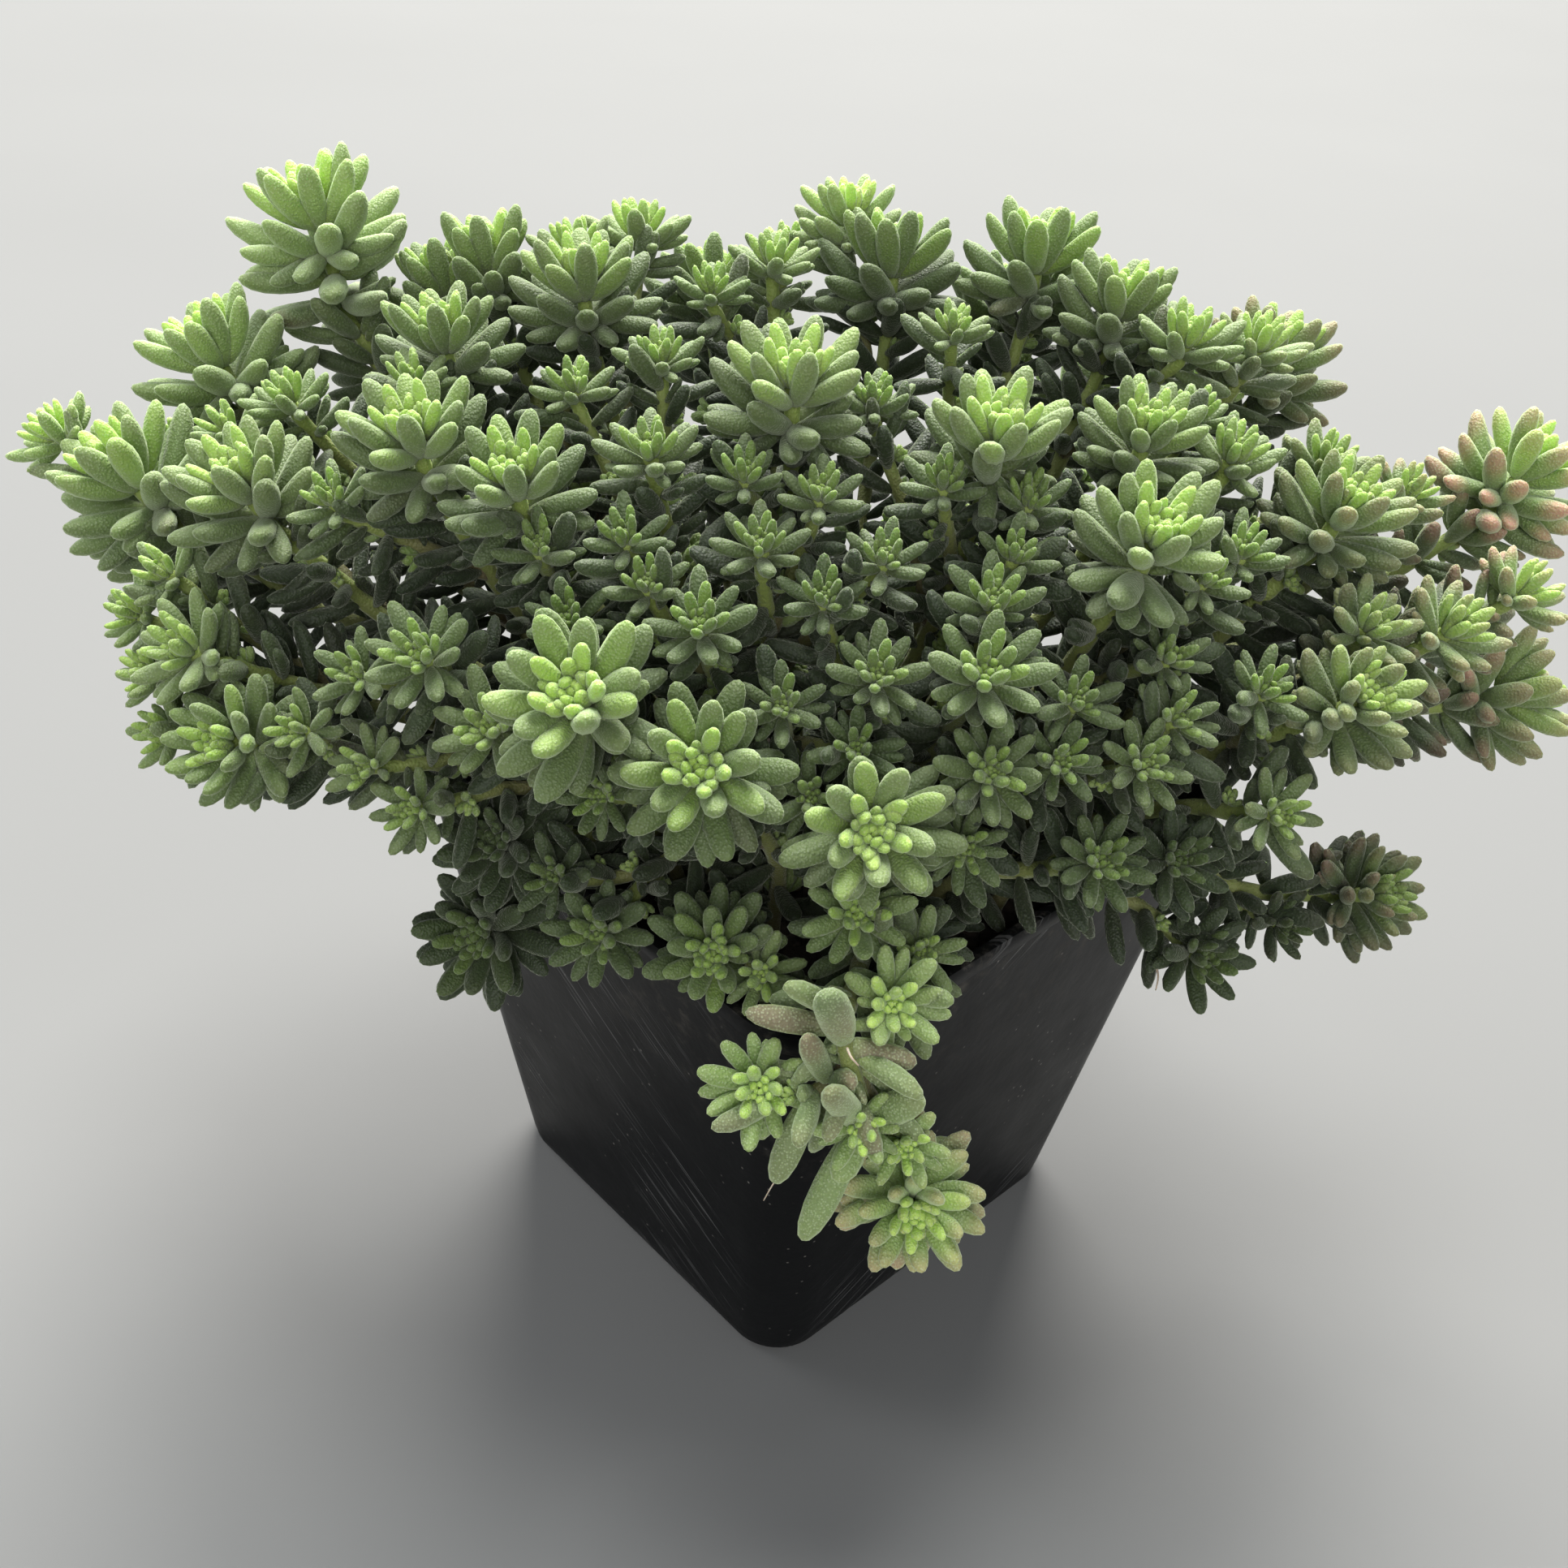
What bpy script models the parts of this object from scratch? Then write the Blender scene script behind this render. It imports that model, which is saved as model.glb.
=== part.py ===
"""A bushy clump of sedum growing in a small square nursery pot.

World frame in metres. The pot stands upright on its base at z = 0, its sides along X and Y,
and the pot's corner at +X, -Y faces the viewer. Every leafy stem stands in a plain hole in
the soil and is one closed body, its leaves extruded from the faces of its stem.
"""

import itertools
import math
from collections import namedtuple

import bmesh
import bpy
import numpy as np

# Pot, a standard two and a half inch square pot
RIM_WIDTH = 0.064
BASE_WIDTH = 0.046
POT_HEIGHT = 0.058
WALL = 0.0010
FLOOR = 0.0018
LIP_HEIGHT = 0.0026
LIP_OUT = 0.0008
RIM_CORNER = 0.0070
BASE_CORNER = 0.0056
EDGE_ROUND = 0.0003
CORNER_STEPS = 3
DRAIN_RADIUS = 0.0035
DRAIN_OFFSET = 0.0140
DRAIN_SIDES = 10

# Soil
GAP = 0.0003
SOIL_TOP = 0.0520
SOIL_LUMP = 0.0007
SOIL_RINGS = 3
HOLE_DEPTH = 0.0055
HOLE_RADIUS = 0.00168
HOLE_SIDES = 4
HOLE_RISE = 0.0028
SOIL_WAVES = (410.0, 370.0, 830.0, 620.0)
SECOND_WAVE = 0.6

# How the clump was seen, used to set each shoot where it grows
CAMERA_PLACE = np.array((0.1011, -0.1054, 0.1596))
CAMERA_AZIMUTH = math.radians(45.1)
CAMERA_TILT = math.radians(35.97)
CAMERA_ROLL = math.radians(4.15)
LENS = 2141.0
PICTURE_MIDDLE = 966.0
NEAREST_SIGHT = 0.060
FARTHEST_SIGHT = 0.300
SIGHT_STEPS = 2401

# Cushion that the shoot tips lie on: half sizes to the side, to the front, to the back and up
SIDE = np.array((math.sqrt(0.5), math.sqrt(0.5), 0.0))
NEAR = np.array((math.sqrt(0.5), -math.sqrt(0.5), 0.0))
UP = np.array((0.0, 0.0, 1.0))
CUSHION_BACK_SHIFT = -0.008
CUSHION_LEVEL = 0.064
CUSHION_SIDE = 0.072
CUSHION_FRONT = 0.048
CUSHION_BACK = 0.056
CUSHION_RISE = 0.038
CUSHION_POWER = 2.4

# How much every shoot leans up from the cushion's own slope, and how much more one does that
# hangs before the cushion
CUSHION_LIFT = 0.40
AHEAD_LIFT = 0.42

# Stems. A path is tried with each rise off the soil, pull behind the crown and bow sideways
# until one has room.
BIG_SIDES = 5
MIDDLE_SIDES = 4
SMALL_SIDES = 3
STEM_STEPS = 3
BRANCH_STEPS = 2
STEM_RADIUS = 0.00085
BRANCH_RADIUS = 0.00072
BRANCH_START_RADIUS = 0.0005
COLLAR_RISE = 0.0014
RING_START = (0.3, 0.95, 0.1)
PATH_RISES = (0.35, 0.5, 0.65, 0.8, 1.0, 1.25, 1.5)
PATH_PULLS = (0.35, 0.15, 0.6)
PATH_BOWS = (0.0, 0.003, -0.003, 0.006, -0.006)
BRANCH_RISES = (0.35, 0.1, 0.6)
BRANCH_PULLS = (0.3, 0.15, 0.5)
BRANCH_BOWS = (0.0, 0.003, -0.003)
LEAN_WORTH = 0.0004
LENGTH_COST = 0.01
BOW_COST = 0.1
CREST_PULL = 0.4
CREST_LEAD = 0.3
HOOK_RISE = 0.18
HOOK_PULL = 0.18
CREST_STEPS = 3
BALL_STEP = 0.0008
COLLAR_BALLS = 3
ROOT_GAP = 0.0043
ROOT_LIMIT = 0.0252
ROOT_SIDE_SHARE = 0.42
ROOT_NEAR_SHARE = 0.50
ROOT_NEAR_SHIFT = 0.004
ROOT_PUSH = 0.51
ROOT_ROUNDS = 300
FORKS = (0.74, 0.60, 0.46, 0.32)

# Crowns and leaves, as shares of how far a leaf reaches
LONGEST_REACH = 0.0094
SHORTEST_REACH = 0.0044
REACH_GROWTH = 1.25
BIG_REACH = 0.0063
SMALL_REACH = 0.0045
CORE_SHARE = 0.150
THINNEST_CORE = 0.00055
THICKEST_CORE = 0.00115
CORE_TAPER = 0.85
PEAK_SHARE = 0.5
TOP_SHARE = 0.22
ROW_SHARE = 0.28
TURN = math.radians(43)
LEAF_WIDTH = 0.38
LEAF_THICKNESS = 0.30
WIDEST_AT = 0.68
LEAF_GAP = 0.0004
LEAF_SWAY = 6
LEAF_SHORTEST = 0.92
LEAF_LONGEST = 1.04
SQUARE_CORNER = 1.41
TRIANGLE_CORNER = 1.20
LEVEL_REACH = 0.0078
DEPTH_RATE = 1.7
SEED = 5

# How far leaves are raised off level with the crown's base, in degrees, and their share of the
# reach: the young leaves in the middle of a crown, then the rows of older leaves under them
BUD_LIFT = 62
BUD_SHARE = 0.70
BIG_BUD_LIFT = 62
BIG_BUD_SHARE = 0.42
ROW_LIFT = 26
BIG_ROW_LIFT = 48
ROW_FALL = 24
LOWEST_LIFT = -4
UPPER_ROW_SHARE = 0.85

# Leaves in whorls down the stem under a crown: height of a whorl, how many at most on a main
# stem and on a side shoot, and the length of a stem that has them all
WHORL_STEP = 0.0046
MAIN_WHORLS = 2
SIDE_WHORLS = 1
LONG_STEM = 0.044
WHORL_LIFT = 22
WHORL_SHARE = 0.80

# Balls that stand for a leaf when room is sought: how far out each is, and its share of the
# leaf's width
BALL_PLACES = np.array((0.3, 0.45, 0.6, 0.75, 0.88, 0.97))
BALL_RADII = np.array((0.32, 0.38, 0.44, 0.44, 0.32, 0.16))
CROWD_SIZE = 40000
NEARBY = 0.006

# What is tried for a leaf until it has room: length, and degrees raised and turned round
LEAF_TRIES = (
    (1.0, 0, 0),
    (1.0, 14, 0),
    (1.0, 0, 14),
    (1.0, 0, -14),
    (1.0, 20, 12),
    (1.0, 20, -12),
    (1.0, -14, 0),
    (0.88, 0, 0),
    (0.88, 16, 14),
    (0.88, 16, -14),
    (0.88, -14, 12),
    (0.88, -14, -12),
    (0.75, 0, 0),
    (0.75, 22, 0),
    (0.75, 10, 18),
    (0.75, 10, -18),
    (0.62, 10, 0),
    (0.52, 0, 0),
)

Tip = namedtuple("Tip", "col row reach ahead rows crest", defaults=(None, None, None))
CREST = Tip(col=1040, row=1268, reach=0, ahead=0.0450)

# Each inner tuple is one leafy stem: its main tip, then its side shoots. col and row give the
# middle of a bud and reach its leaf length, in pixels of the picture. ahead puts a tip on an
# upright plane that many metres before the pot's axis, rows asks for more rows of leaves, and
# crest is where a hanging stem passes over the rim.
STEMS = {
    "back": (
        (Tip(col=380, row=235, reach=85, rows=4),),
        (Tip(col=250, row=413, reach=80, rows=3), Tip(col=353, row=485, reach=48)),
        (Tip(col=594, row=297, reach=75), Tip(col=505, row=462, reach=44)),
        (Tip(col=716, row=327, reach=80), Tip(col=787, row=278, reach=55)),
        (Tip(col=540, row=396, reach=75),),
        (Tip(col=953, row=314, reach=50), Tip(col=877, row=350, reach=38)),
        (Tip(col=1104, row=296, reach=85), Tip(col=1051, row=247, reach=60)),
        (Tip(col=1284, row=293, reach=80), Tip(col=1176, row=399, reach=42)),
        (Tip(col=1387, row=354, reach=75), Tip(col=1466, row=410, reach=60)),
    ),
    "left": (
        (Tip(col=134, row=565, reach=95), Tip(col=62, row=529, reach=48)),
        (Tip(col=286, row=579, reach=85), Tip(col=277, row=520, reach=42)),
        (Tip(col=504, row=520, reach=90), Tip(col=406, row=610, reach=40)),
        (Tip(col=629, row=576, reach=86), Tip(col=661, row=670, reach=34)),
        (
            Tip(col=221, row=797, reach=65),
            Tip(col=198, row=700, reach=44),
            Tip(col=160, row=752, reach=36),
            Tip(col=176, row=826, reach=32),
        ),
        (
            Tip(col=265, row=913, reach=75),
            Tip(col=194, row=900, reach=38),
            Tip(col=363, row=900, reach=42),
        ),
        (Tip(col=515, row=806, reach=65), Tip(col=435, row=829, reach=42)),
    ),
    "middle": (
        (
            Tip(col=801, row=550, reach=60),
            Tip(col=707, row=470, reach=46),
            Tip(col=814, row=434, reach=50),
        ),
        (Tip(col=979, row=452, reach=95), Tip(col=918, row=580, reach=34)),
        (
            Tip(col=1234, row=519, reach=95),
            Tip(col=1165, row=590, reach=34),
            Tip(col=1078, row=488, reach=50),
        ),
        (Tip(col=1083, row=830, reach=60), Tip(col=1015, row=734, reach=40)),
        (
            Tip(col=938, row=668, reach=56),
            Tip(col=1011, row=604, reach=54),
            Tip(col=1091, row=684, reach=38),
        ),
        (
            Tip(col=863, row=765, reach=65),
            Tip(col=770, row=658, reach=40),
            Tip(col=796, row=716, reach=32),
        ),
        (Tip(col=704, row=851, reach=110), Tip(col=698, row=760, reach=36)),
        (
            Tip(col=600, row=896, reach=65),
            Tip(col=506, row=998, reach=52),
            Tip(col=448, row=945, reach=38),
        ),
        (Tip(col=861, row=945, reach=100), Tip(col=738, row=980, reach=40)),
        (Tip(col=964, row=868, reach=55), Tip(col=1056, row=922, reach=36)),
        (Tip(col=1218, row=826, reach=75), Tip(col=1226, row=738, reach=62)),
        (Tip(col=1270, row=611, reach=42), Tip(col=1252, row=680, reach=40)),
        (Tip(col=1075, row=1025, reach=100), Tip(col=1000, row=984, reach=32)),
        (Tip(col=1224, row=951, reach=65), Tip(col=1190, row=1047, reach=46)),
        (Tip(col=1310, row=937, reach=52), Tip(col=1328, row=862, reach=50)),
        (Tip(col=1414, row=941, reach=56), Tip(col=1454, row=884, reach=45)),
    ),
    "right": (
        (Tip(col=1419, row=517, reach=75), Tip(col=1475, row=505, reach=36)),
        (Tip(col=1522, row=555, reach=58), Tip(col=1639, row=564, reach=52)),
        (Tip(col=1667, row=611, reach=80), Tip(col=1741, row=601, reach=42)),
        (Tip(col=1900, row=559, reach=75, rows=3),),
        (
            Tip(col=1429, row=648, reach=95),
            Tip(col=1536, row=676, reach=38),
            Tip(col=1444, row=806, reach=40),
        ),
        (Tip(col=1795, row=770, reach=62), Tip(col=1694, row=768, reach=56)),
        (Tip(col=1690, row=853, reach=75), Tip(col=1564, row=849, reach=34)),
        (Tip(col=1579, row=1004, reach=40), Tip(col=1489, row=708, reach=36)),
    ),
    "front": (
        (
            Tip(col=604, row=1034, reach=75, ahead=0.028),
            Tip(col=582, row=1154, reach=80, ahead=0.028),
        ),
        (
            Tip(col=736, row=1151, reach=62, ahead=0.033),
            Tip(col=680, row=1079, reach=34, ahead=0.031),
        ),
        (
            Tip(col=880, row=1176, reach=75, ahead=0.037),
            Tip(col=938, row=1200, reach=32, ahead=0.038),
        ),
        (
            Tip(col=1100, row=1238, reach=65, ahead=0.043),
            Tip(col=1056, row=1127, reach=65, ahead=0.038),
            Tip(col=1136, row=1175, reach=34, ahead=0.037),
        ),
        (Tip(col=1360, row=1060, reach=56, ahead=0.032),),
        (
            Tip(col=1455, row=1060, reach=56, ahead=0.028),
            Tip(col=1484, row=1178, reach=60, ahead=0.026),
        ),
        (
            Tip(col=1710, row=1100, reach=60, ahead=0.019, rows=3),
            Tip(col=1584, row=1139, reach=40, ahead=0.020),
        ),
        (
            Tip(col=1127, row=1500, reach=75, ahead=0.048, rows=3, crest=CREST),
            Tip(col=935, row=1342, reach=65, ahead=0.047),
            Tip(col=1062, row=1392, reach=42, ahead=0.049),
            Tip(col=1116, row=1414, reach=34, ahead=0.048),
        ),
    ),
}

# Stems on the side away from the viewer: lift on the cushion, turn of the first and last of
# each row, and how many stems there are. Each stem's shoots are given by their turn and rise
# from it in degrees, and their share of the reach.
REAR_ROWS = ((6, -90, 90, 4), (29, -62, 62, 4))
REAR_REACH = 0.0082
REAR_SHOOTS = ((0, 0, 1.0), (11, 9, 0.72))
REAR_SWAY = 3
REAR_SHORTEST = 0.9
REAR_LONGEST = 1.1

SHOOT_COLOR = (0.20, 0.32, 0.11, 1.0)
POT_COLOR = (0.018, 0.019, 0.021, 1.0)
SOIL_COLOR = (0.045, 0.034, 0.026, 1.0)


def unit(vector):
    return vector / np.linalg.norm(vector)


def level(vector):
    return np.array((vector[0], vector[1], 0.0))


def material(name, color, roughness):
    made = bpy.data.materials.new(name)
    made.use_nodes = True
    shader = made.node_tree.nodes["Principled BSDF"]
    shader.inputs["Base Color"].default_value = color
    shader.inputs["Roughness"].default_value = roughness
    shader.inputs["Metallic"].default_value = 0.0
    made.diffuse_color = color
    return made


def node(name, mesh, surface, collection):
    mesh.materials.clear()
    mesh.materials.append(surface)
    made = bpy.data.objects.new(name, mesh)
    collection.objects.link(made)
    return made


def finished(bm, name):
    close_foot(bm)
    mesh = bpy.data.meshes.new(name)
    bm.to_mesh(mesh)
    bm.free()
    return mesh


# A tower of rings: one closed face, extruded from ring to ring


def start_tower(bm, ring):
    bmesh.ops.create_circle(bm, cap_ends=True, radius=1.0, segments=len(ring))
    bm.faces.ensure_lookup_table()
    face = bm.faces[0]
    for loop, place in zip(face.loops, ring):
        loop.vert.co = place
    return face


def raise_tower(bm, face, ring):
    """Extrudes the face to the ring; gives the new end face and the side faces in order."""
    face = bmesh.ops.extrude_discrete_faces(bm, faces=[face])["faces"][0]
    for loop, place in zip(face.loops, ring):
        loop.vert.co = place
    walls = []
    for loop in face.loops:
        walls.extend(other for other in loop.edge.link_faces if other is not face)
    return face, walls


def close_foot(bm):
    """Closes the first ring of a tower, which its extrusion left open."""
    bmesh.ops.holes_fill(bm, edges=bm.edges)
    bmesh.ops.recalc_face_normals(bm, faces=bm.faces)


def close_tower(bm, face, peak):
    """Raises the end face to a point; gives its triangles in ring order."""
    edges = [loop.edge for loop in face.loops]
    poked = bmesh.ops.poke(bm, faces=[face])
    poked["verts"][0].co = peak
    made = set(poked["faces"])
    return [next(side for side in edge.link_faces if side in made) for edge in edges]


def rounded_square(half, corner, height):
    ring = []
    for quarter in range(4):
        start = quarter * math.pi / 2
        middle = (half - corner) * math.sqrt(2)
        turn = start + math.pi / 4
        for step in range(CORNER_STEPS + 1):
            angle = start + step * math.pi / 2 / CORNER_STEPS
            x = middle * math.cos(turn) + corner * math.cos(angle)
            y = middle * math.sin(turn) + corner * math.sin(angle)
            ring.append((x, y, height))
    return ring


def wall_half(height):
    """Half the outer width of the pot's wall at a height, without the lip."""
    share = min(max(height / POT_HEIGHT, 0.0), 1.0)
    top = RIM_WIDTH / 2 - LIP_OUT
    return BASE_WIDTH / 2 + (top - BASE_WIDTH / 2) * share


def wall_corner(height):
    share = min(max(height / POT_HEIGHT, 0.0), 1.0)
    return BASE_CORNER + (RIM_CORNER - BASE_CORNER) * share


def pot_ring(height, inward=0.0):
    return rounded_square(wall_half(height) - inward, wall_corner(height) - inward, height)


def make_pot(surface, collection, cutters):
    lip_low = POT_HEIGHT - LIP_HEIGHT
    bm = bmesh.new()
    face = start_tower(bm, pot_ring(0.0, 2 * EDGE_ROUND))
    rings = (
        pot_ring(2 * EDGE_ROUND),
        pot_ring(lip_low),
        pot_ring(lip_low + EDGE_ROUND, -LIP_OUT),
        pot_ring(POT_HEIGHT - EDGE_ROUND, -LIP_OUT),
        pot_ring(POT_HEIGHT, EDGE_ROUND - LIP_OUT),
        pot_ring(POT_HEIGHT, WALL - LIP_OUT / 2),
        pot_ring(lip_low, WALL),
        pot_ring(FLOOR, WALL),
    )
    for ring in rings:
        face = raise_tower(bm, face, ring)[0]
    pot = node("pot", finished(bm, "pot"), surface, collection)
    drains = bmesh.new()
    for x in (-DRAIN_OFFSET, DRAIN_OFFSET):
        for y in (-DRAIN_OFFSET, DRAIN_OFFSET):
            drain = bmesh.new()
            low = round_ring(x, y, -FLOOR, DRAIN_RADIUS, DRAIN_SIDES)
            high = round_ring(x, y, 2 * FLOOR, DRAIN_RADIUS, DRAIN_SIDES)
            raise_tower(drain, start_tower(drain, low), high)
            gather(drains, drain)
    cut(pot, cutter("drain_cutter", drains, cutters))
    return pot


def round_ring(x, y, height, radius, sides):
    angles = [2 * math.pi * step / sides for step in range(sides)]
    return [(x + radius * math.cos(a), y + radius * math.sin(a), height) for a in angles]


def gather(whole, piece):
    """Adds one closed piece to a mesh that holds several."""
    close_foot(piece)
    mesh = bpy.data.meshes.new("piece")
    piece.to_mesh(mesh)
    piece.free()
    whole.from_mesh(mesh)
    bpy.data.meshes.remove(mesh)


def cutter(name, bm, collection):
    mesh = bpy.data.meshes.new(name)
    bm.to_mesh(mesh)
    bm.free()
    made = bpy.data.objects.new(name, mesh)
    made.hide_render = True
    made.display_type = "WIRE"
    collection.objects.link(made)
    return made


def cut(body, tool):
    modifier = body.modifiers.new("cut", "BOOLEAN")
    modifier.operation = "DIFFERENCE"
    modifier.solver = "EXACT"
    modifier.object = tool


def soil_height(x, y):
    """Lumpy top of the soil, from two waves whose turns are given per metre."""
    first, second, third, fourth = SOIL_WAVES
    waves = math.sin(first * x + 1.0) * math.cos(second * y)
    waves += SECOND_WAVE * math.sin(third * y + fourth * x)
    return SOIL_TOP + SOIL_LUMP * waves / (1 + SECOND_WAVE)


def make_soil(roots, surface, collection, cutters):
    bm = bmesh.new()
    bottom = FLOOR + GAP
    edge = WALL + GAP
    top = pot_ring(SOIL_TOP - SOIL_LUMP, edge)
    face = raise_tower(bm, start_tower(bm, pot_ring(bottom, edge)), top)[0]
    for step in range(1, SOIL_RINGS):
        share = 1 - step / SOIL_RINGS
        ring = [(x * share, y * share, soil_height(x * share, y * share)) for x, y, z in top]
        face = raise_tower(bm, face, ring)[0]
    close_tower(bm, face, (0.0, 0.0, soil_height(0.0, 0.0)))
    soil = node("soil", finished(bm, "soil"), surface, collection)
    holes = bmesh.new()
    for root in roots:
        hole = bmesh.new()
        low = round_ring(root[0], root[1], SOIL_TOP - HOLE_DEPTH, HOLE_RADIUS, HOLE_SIDES)
        high = round_ring(root[0], root[1], SOIL_TOP + HOLE_RISE, HOLE_RADIUS, HOLE_SIDES)
        raise_tower(hole, start_tower(hole, low), high)
        gather(holes, hole)
    cut(soil, cutter("hole_cutter", holes, cutters))
    return soil


# Where the shoots grow


def sight_line(col, row):
    """Direction from the camera through a place on the picture."""
    back = np.array(
        (
            math.sin(CAMERA_AZIMUTH) * math.cos(CAMERA_TILT),
            -math.cos(CAMERA_AZIMUTH) * math.cos(CAMERA_TILT),
            math.sin(CAMERA_TILT),
        )
    )
    right = np.array((math.cos(CAMERA_AZIMUTH), math.sin(CAMERA_AZIMUTH), 0.0))
    up = np.cross(right, -back)
    rolled_right = math.cos(CAMERA_ROLL) * right + math.sin(CAMERA_ROLL) * up
    rolled_up = math.cos(CAMERA_ROLL) * up - math.sin(CAMERA_ROLL) * right
    across = (col - PICTURE_MIDDLE) / LENS
    down = (row - PICTURE_MIDDLE) / LENS
    return unit(across * rolled_right - down * rolled_up - back)


def cushion_parts(points):
    """Side, near and up distance from the cushion's middle, as shares of its half sizes."""
    offset = points - NEAR * CUSHION_BACK_SHIFT - UP * CUSHION_LEVEL
    near = offset @ NEAR
    depth = np.where(near > 0, CUSHION_FRONT, CUSHION_BACK)
    return offset @ SIDE / CUSHION_SIDE, near / depth, offset @ UP / CUSHION_RISE, depth


def cushion_value(points):
    side, near, rise, depth = cushion_parts(points)
    total = abs(side) ** CUSHION_POWER + abs(near) ** CUSHION_POWER + abs(rise) ** CUSHION_POWER
    return total ** (1 / CUSHION_POWER)


def outward(point):
    """Direction in which a shoot at this place points: off the cushion and a little up."""
    side, near, rise, depth = cushion_parts(point)
    slopes = [np.sign(v) * abs(v) ** (CUSHION_POWER - 1) for v in (side, near, rise)]
    slope = slopes[0] / CUSHION_SIDE * SIDE + slopes[1] / depth * NEAR
    slope = slope + slopes[2] / CUSHION_RISE * UP
    return unit(unit(slope) + CUSHION_LIFT * UP)


def tip_place(tip):
    """Place of a tip, and how far its leaves reach in metres."""
    sight = sight_line(tip.col, tip.row)
    if tip.ahead is None:
        along = np.linspace(NEAREST_SIGHT, FARTHEST_SIGHT, SIGHT_STEPS)
        values = cushion_value(CAMERA_PLACE + along[:, None] * sight)
        met = np.nonzero(values < 1)[0]
        distance = along[met[0] if len(met) else int(np.argmin(values))]
    else:
        distance = (tip.ahead - CAMERA_PLACE @ NEAR) / (sight @ NEAR)
    reach = REACH_GROWTH * tip.reach * distance / LENS
    reach = min(max(reach, SHORTEST_REACH), LONGEST_REACH)
    if tip.ahead is None:
        distance += DEPTH_RATE * (LEVEL_REACH - reach)
    return CAMERA_PLACE + distance * sight, reach


def rear_tips():
    """Tips on the far side of the cushion, in rows, each stem with a side shoot."""
    rng = np.random.default_rng(SEED)
    stems = []
    for lift, first, last, count in REAR_ROWS:
        for turn in np.linspace(first, last, count):
            stem = []
            for step, rise, share in REAR_SHOOTS:
                around = math.radians(turn + step + rng.uniform(-REAR_SWAY, REAR_SWAY))
                height = math.radians(lift + rise + rng.uniform(-REAR_SWAY, REAR_SWAY))
                aim = math.sin(around) * SIDE - math.cos(around) * NEAR
                aim = unit(math.cos(height) * aim + math.sin(height) * UP)
                middle = NEAR * CUSHION_BACK_SHIFT + UP * CUSHION_LEVEL
                size = cushion_value(middle + aim)
                reach = REAR_REACH * share * rng.uniform(REAR_SHORTEST, REAR_LONGEST)
                stem.append((middle + aim / size, reach))
            stems.append(stem)
    return stems


def pot_room(point):
    """Distance from a place to the pot or the soil, less than nothing inside them."""
    x, y, height = point
    across = max(abs(x), abs(y))
    half = wall_half(height)
    outer = half + (LIP_OUT if height > POT_HEIGHT - 2 * LIP_HEIGHT else 0.0)
    inner = half - WALL - LIP_OUT / 2
    soil = height - SOIL_TOP - SOIL_LUMP
    if height > POT_HEIGHT:
        if across > outer:
            return math.hypot(across - outer, height - POT_HEIGHT)
        if across < inner:
            return min(math.hypot(inner - across, height - POT_HEIGHT), soil)
        return height - POT_HEIGHT
    if across > outer:
        return across - outer
    return min(inner - across, soil)


def root_places(tips):
    """Holes for the stems: the tips drawn in over the soil, then moved apart."""
    spots = []
    for tip in tips:
        aside = (tip @ SIDE) * ROOT_SIDE_SHARE * SIDE
        spots.append(aside + (tip @ NEAR + ROOT_NEAR_SHIFT) * ROOT_NEAR_SHARE * NEAR)
    spots = np.array(spots)
    for turn in range(ROOT_ROUNDS):
        spots = np.clip(spots, -ROOT_LIMIT, ROOT_LIMIT)
        for first in range(len(spots)):
            for second in range(first + 1, len(spots)):
                apart = level(spots[second] - spots[first])
                distance = np.linalg.norm(apart)
                if distance < ROOT_GAP:
                    push = apart / max(distance, 1e-6) * (ROOT_GAP - distance) * ROOT_PUSH
                    spots[first] -= push
                    spots[second] += push
    return np.clip(spots, -ROOT_LIMIT, ROOT_LIMIT)


def bezier(places, count):
    share = np.linspace(0, 1, count + 1)[:, None]
    rest = 1 - share
    curve = rest**3 * places[0] + 3 * rest**2 * share * places[1]
    return curve + 3 * rest * share**2 * places[2] + share**3 * places[3]


class Crowd:
    """Balls that stand for the stems and leaves already placed."""

    def __init__(self, most):
        self.places = np.zeros((most, 3))
        self.radii = np.zeros(most)
        self.owners = np.full(most, -1)
        self.count = 0

    def add(self, places, radii, owner):
        end = self.count + len(places)
        self.places[self.count : end] = places
        self.radii[self.count : end] = radii
        self.owners[self.count : end] = owner
        self.count = end

    def room(self, places, radii, skipped):
        """Least gap between these balls and the nearby crowd, the pot and the soil."""
        least = min(pot_room(place) - radius for place, radius in zip(places, radii))
        others = self.places[: self.count]
        above = others > places.min(axis=0) - NEARBY
        below = others < places.max(axis=0) + NEARBY
        near = np.nonzero((above & below).all(axis=1))[0]
        near = near[~np.isin(self.owners[near], skipped)]
        if not len(near):
            return least
        gaps = np.linalg.norm(places[:, None] - others[near][None], axis=2)
        return min(least, (gaps - radii[:, None] - self.radii[near][None]).min())


def balls_along(path, radius):
    """Balls close together along a stem."""
    places = []
    for start, end in zip(path[:-1], path[1:]):
        steps = max(int(np.linalg.norm(end - start) / BALL_STEP), 1)
        places.extend(start + (end - start) * step / steps for step in range(steps))
    places.append(path[-1])
    return np.array(places), np.full(len(places), radius)


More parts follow.
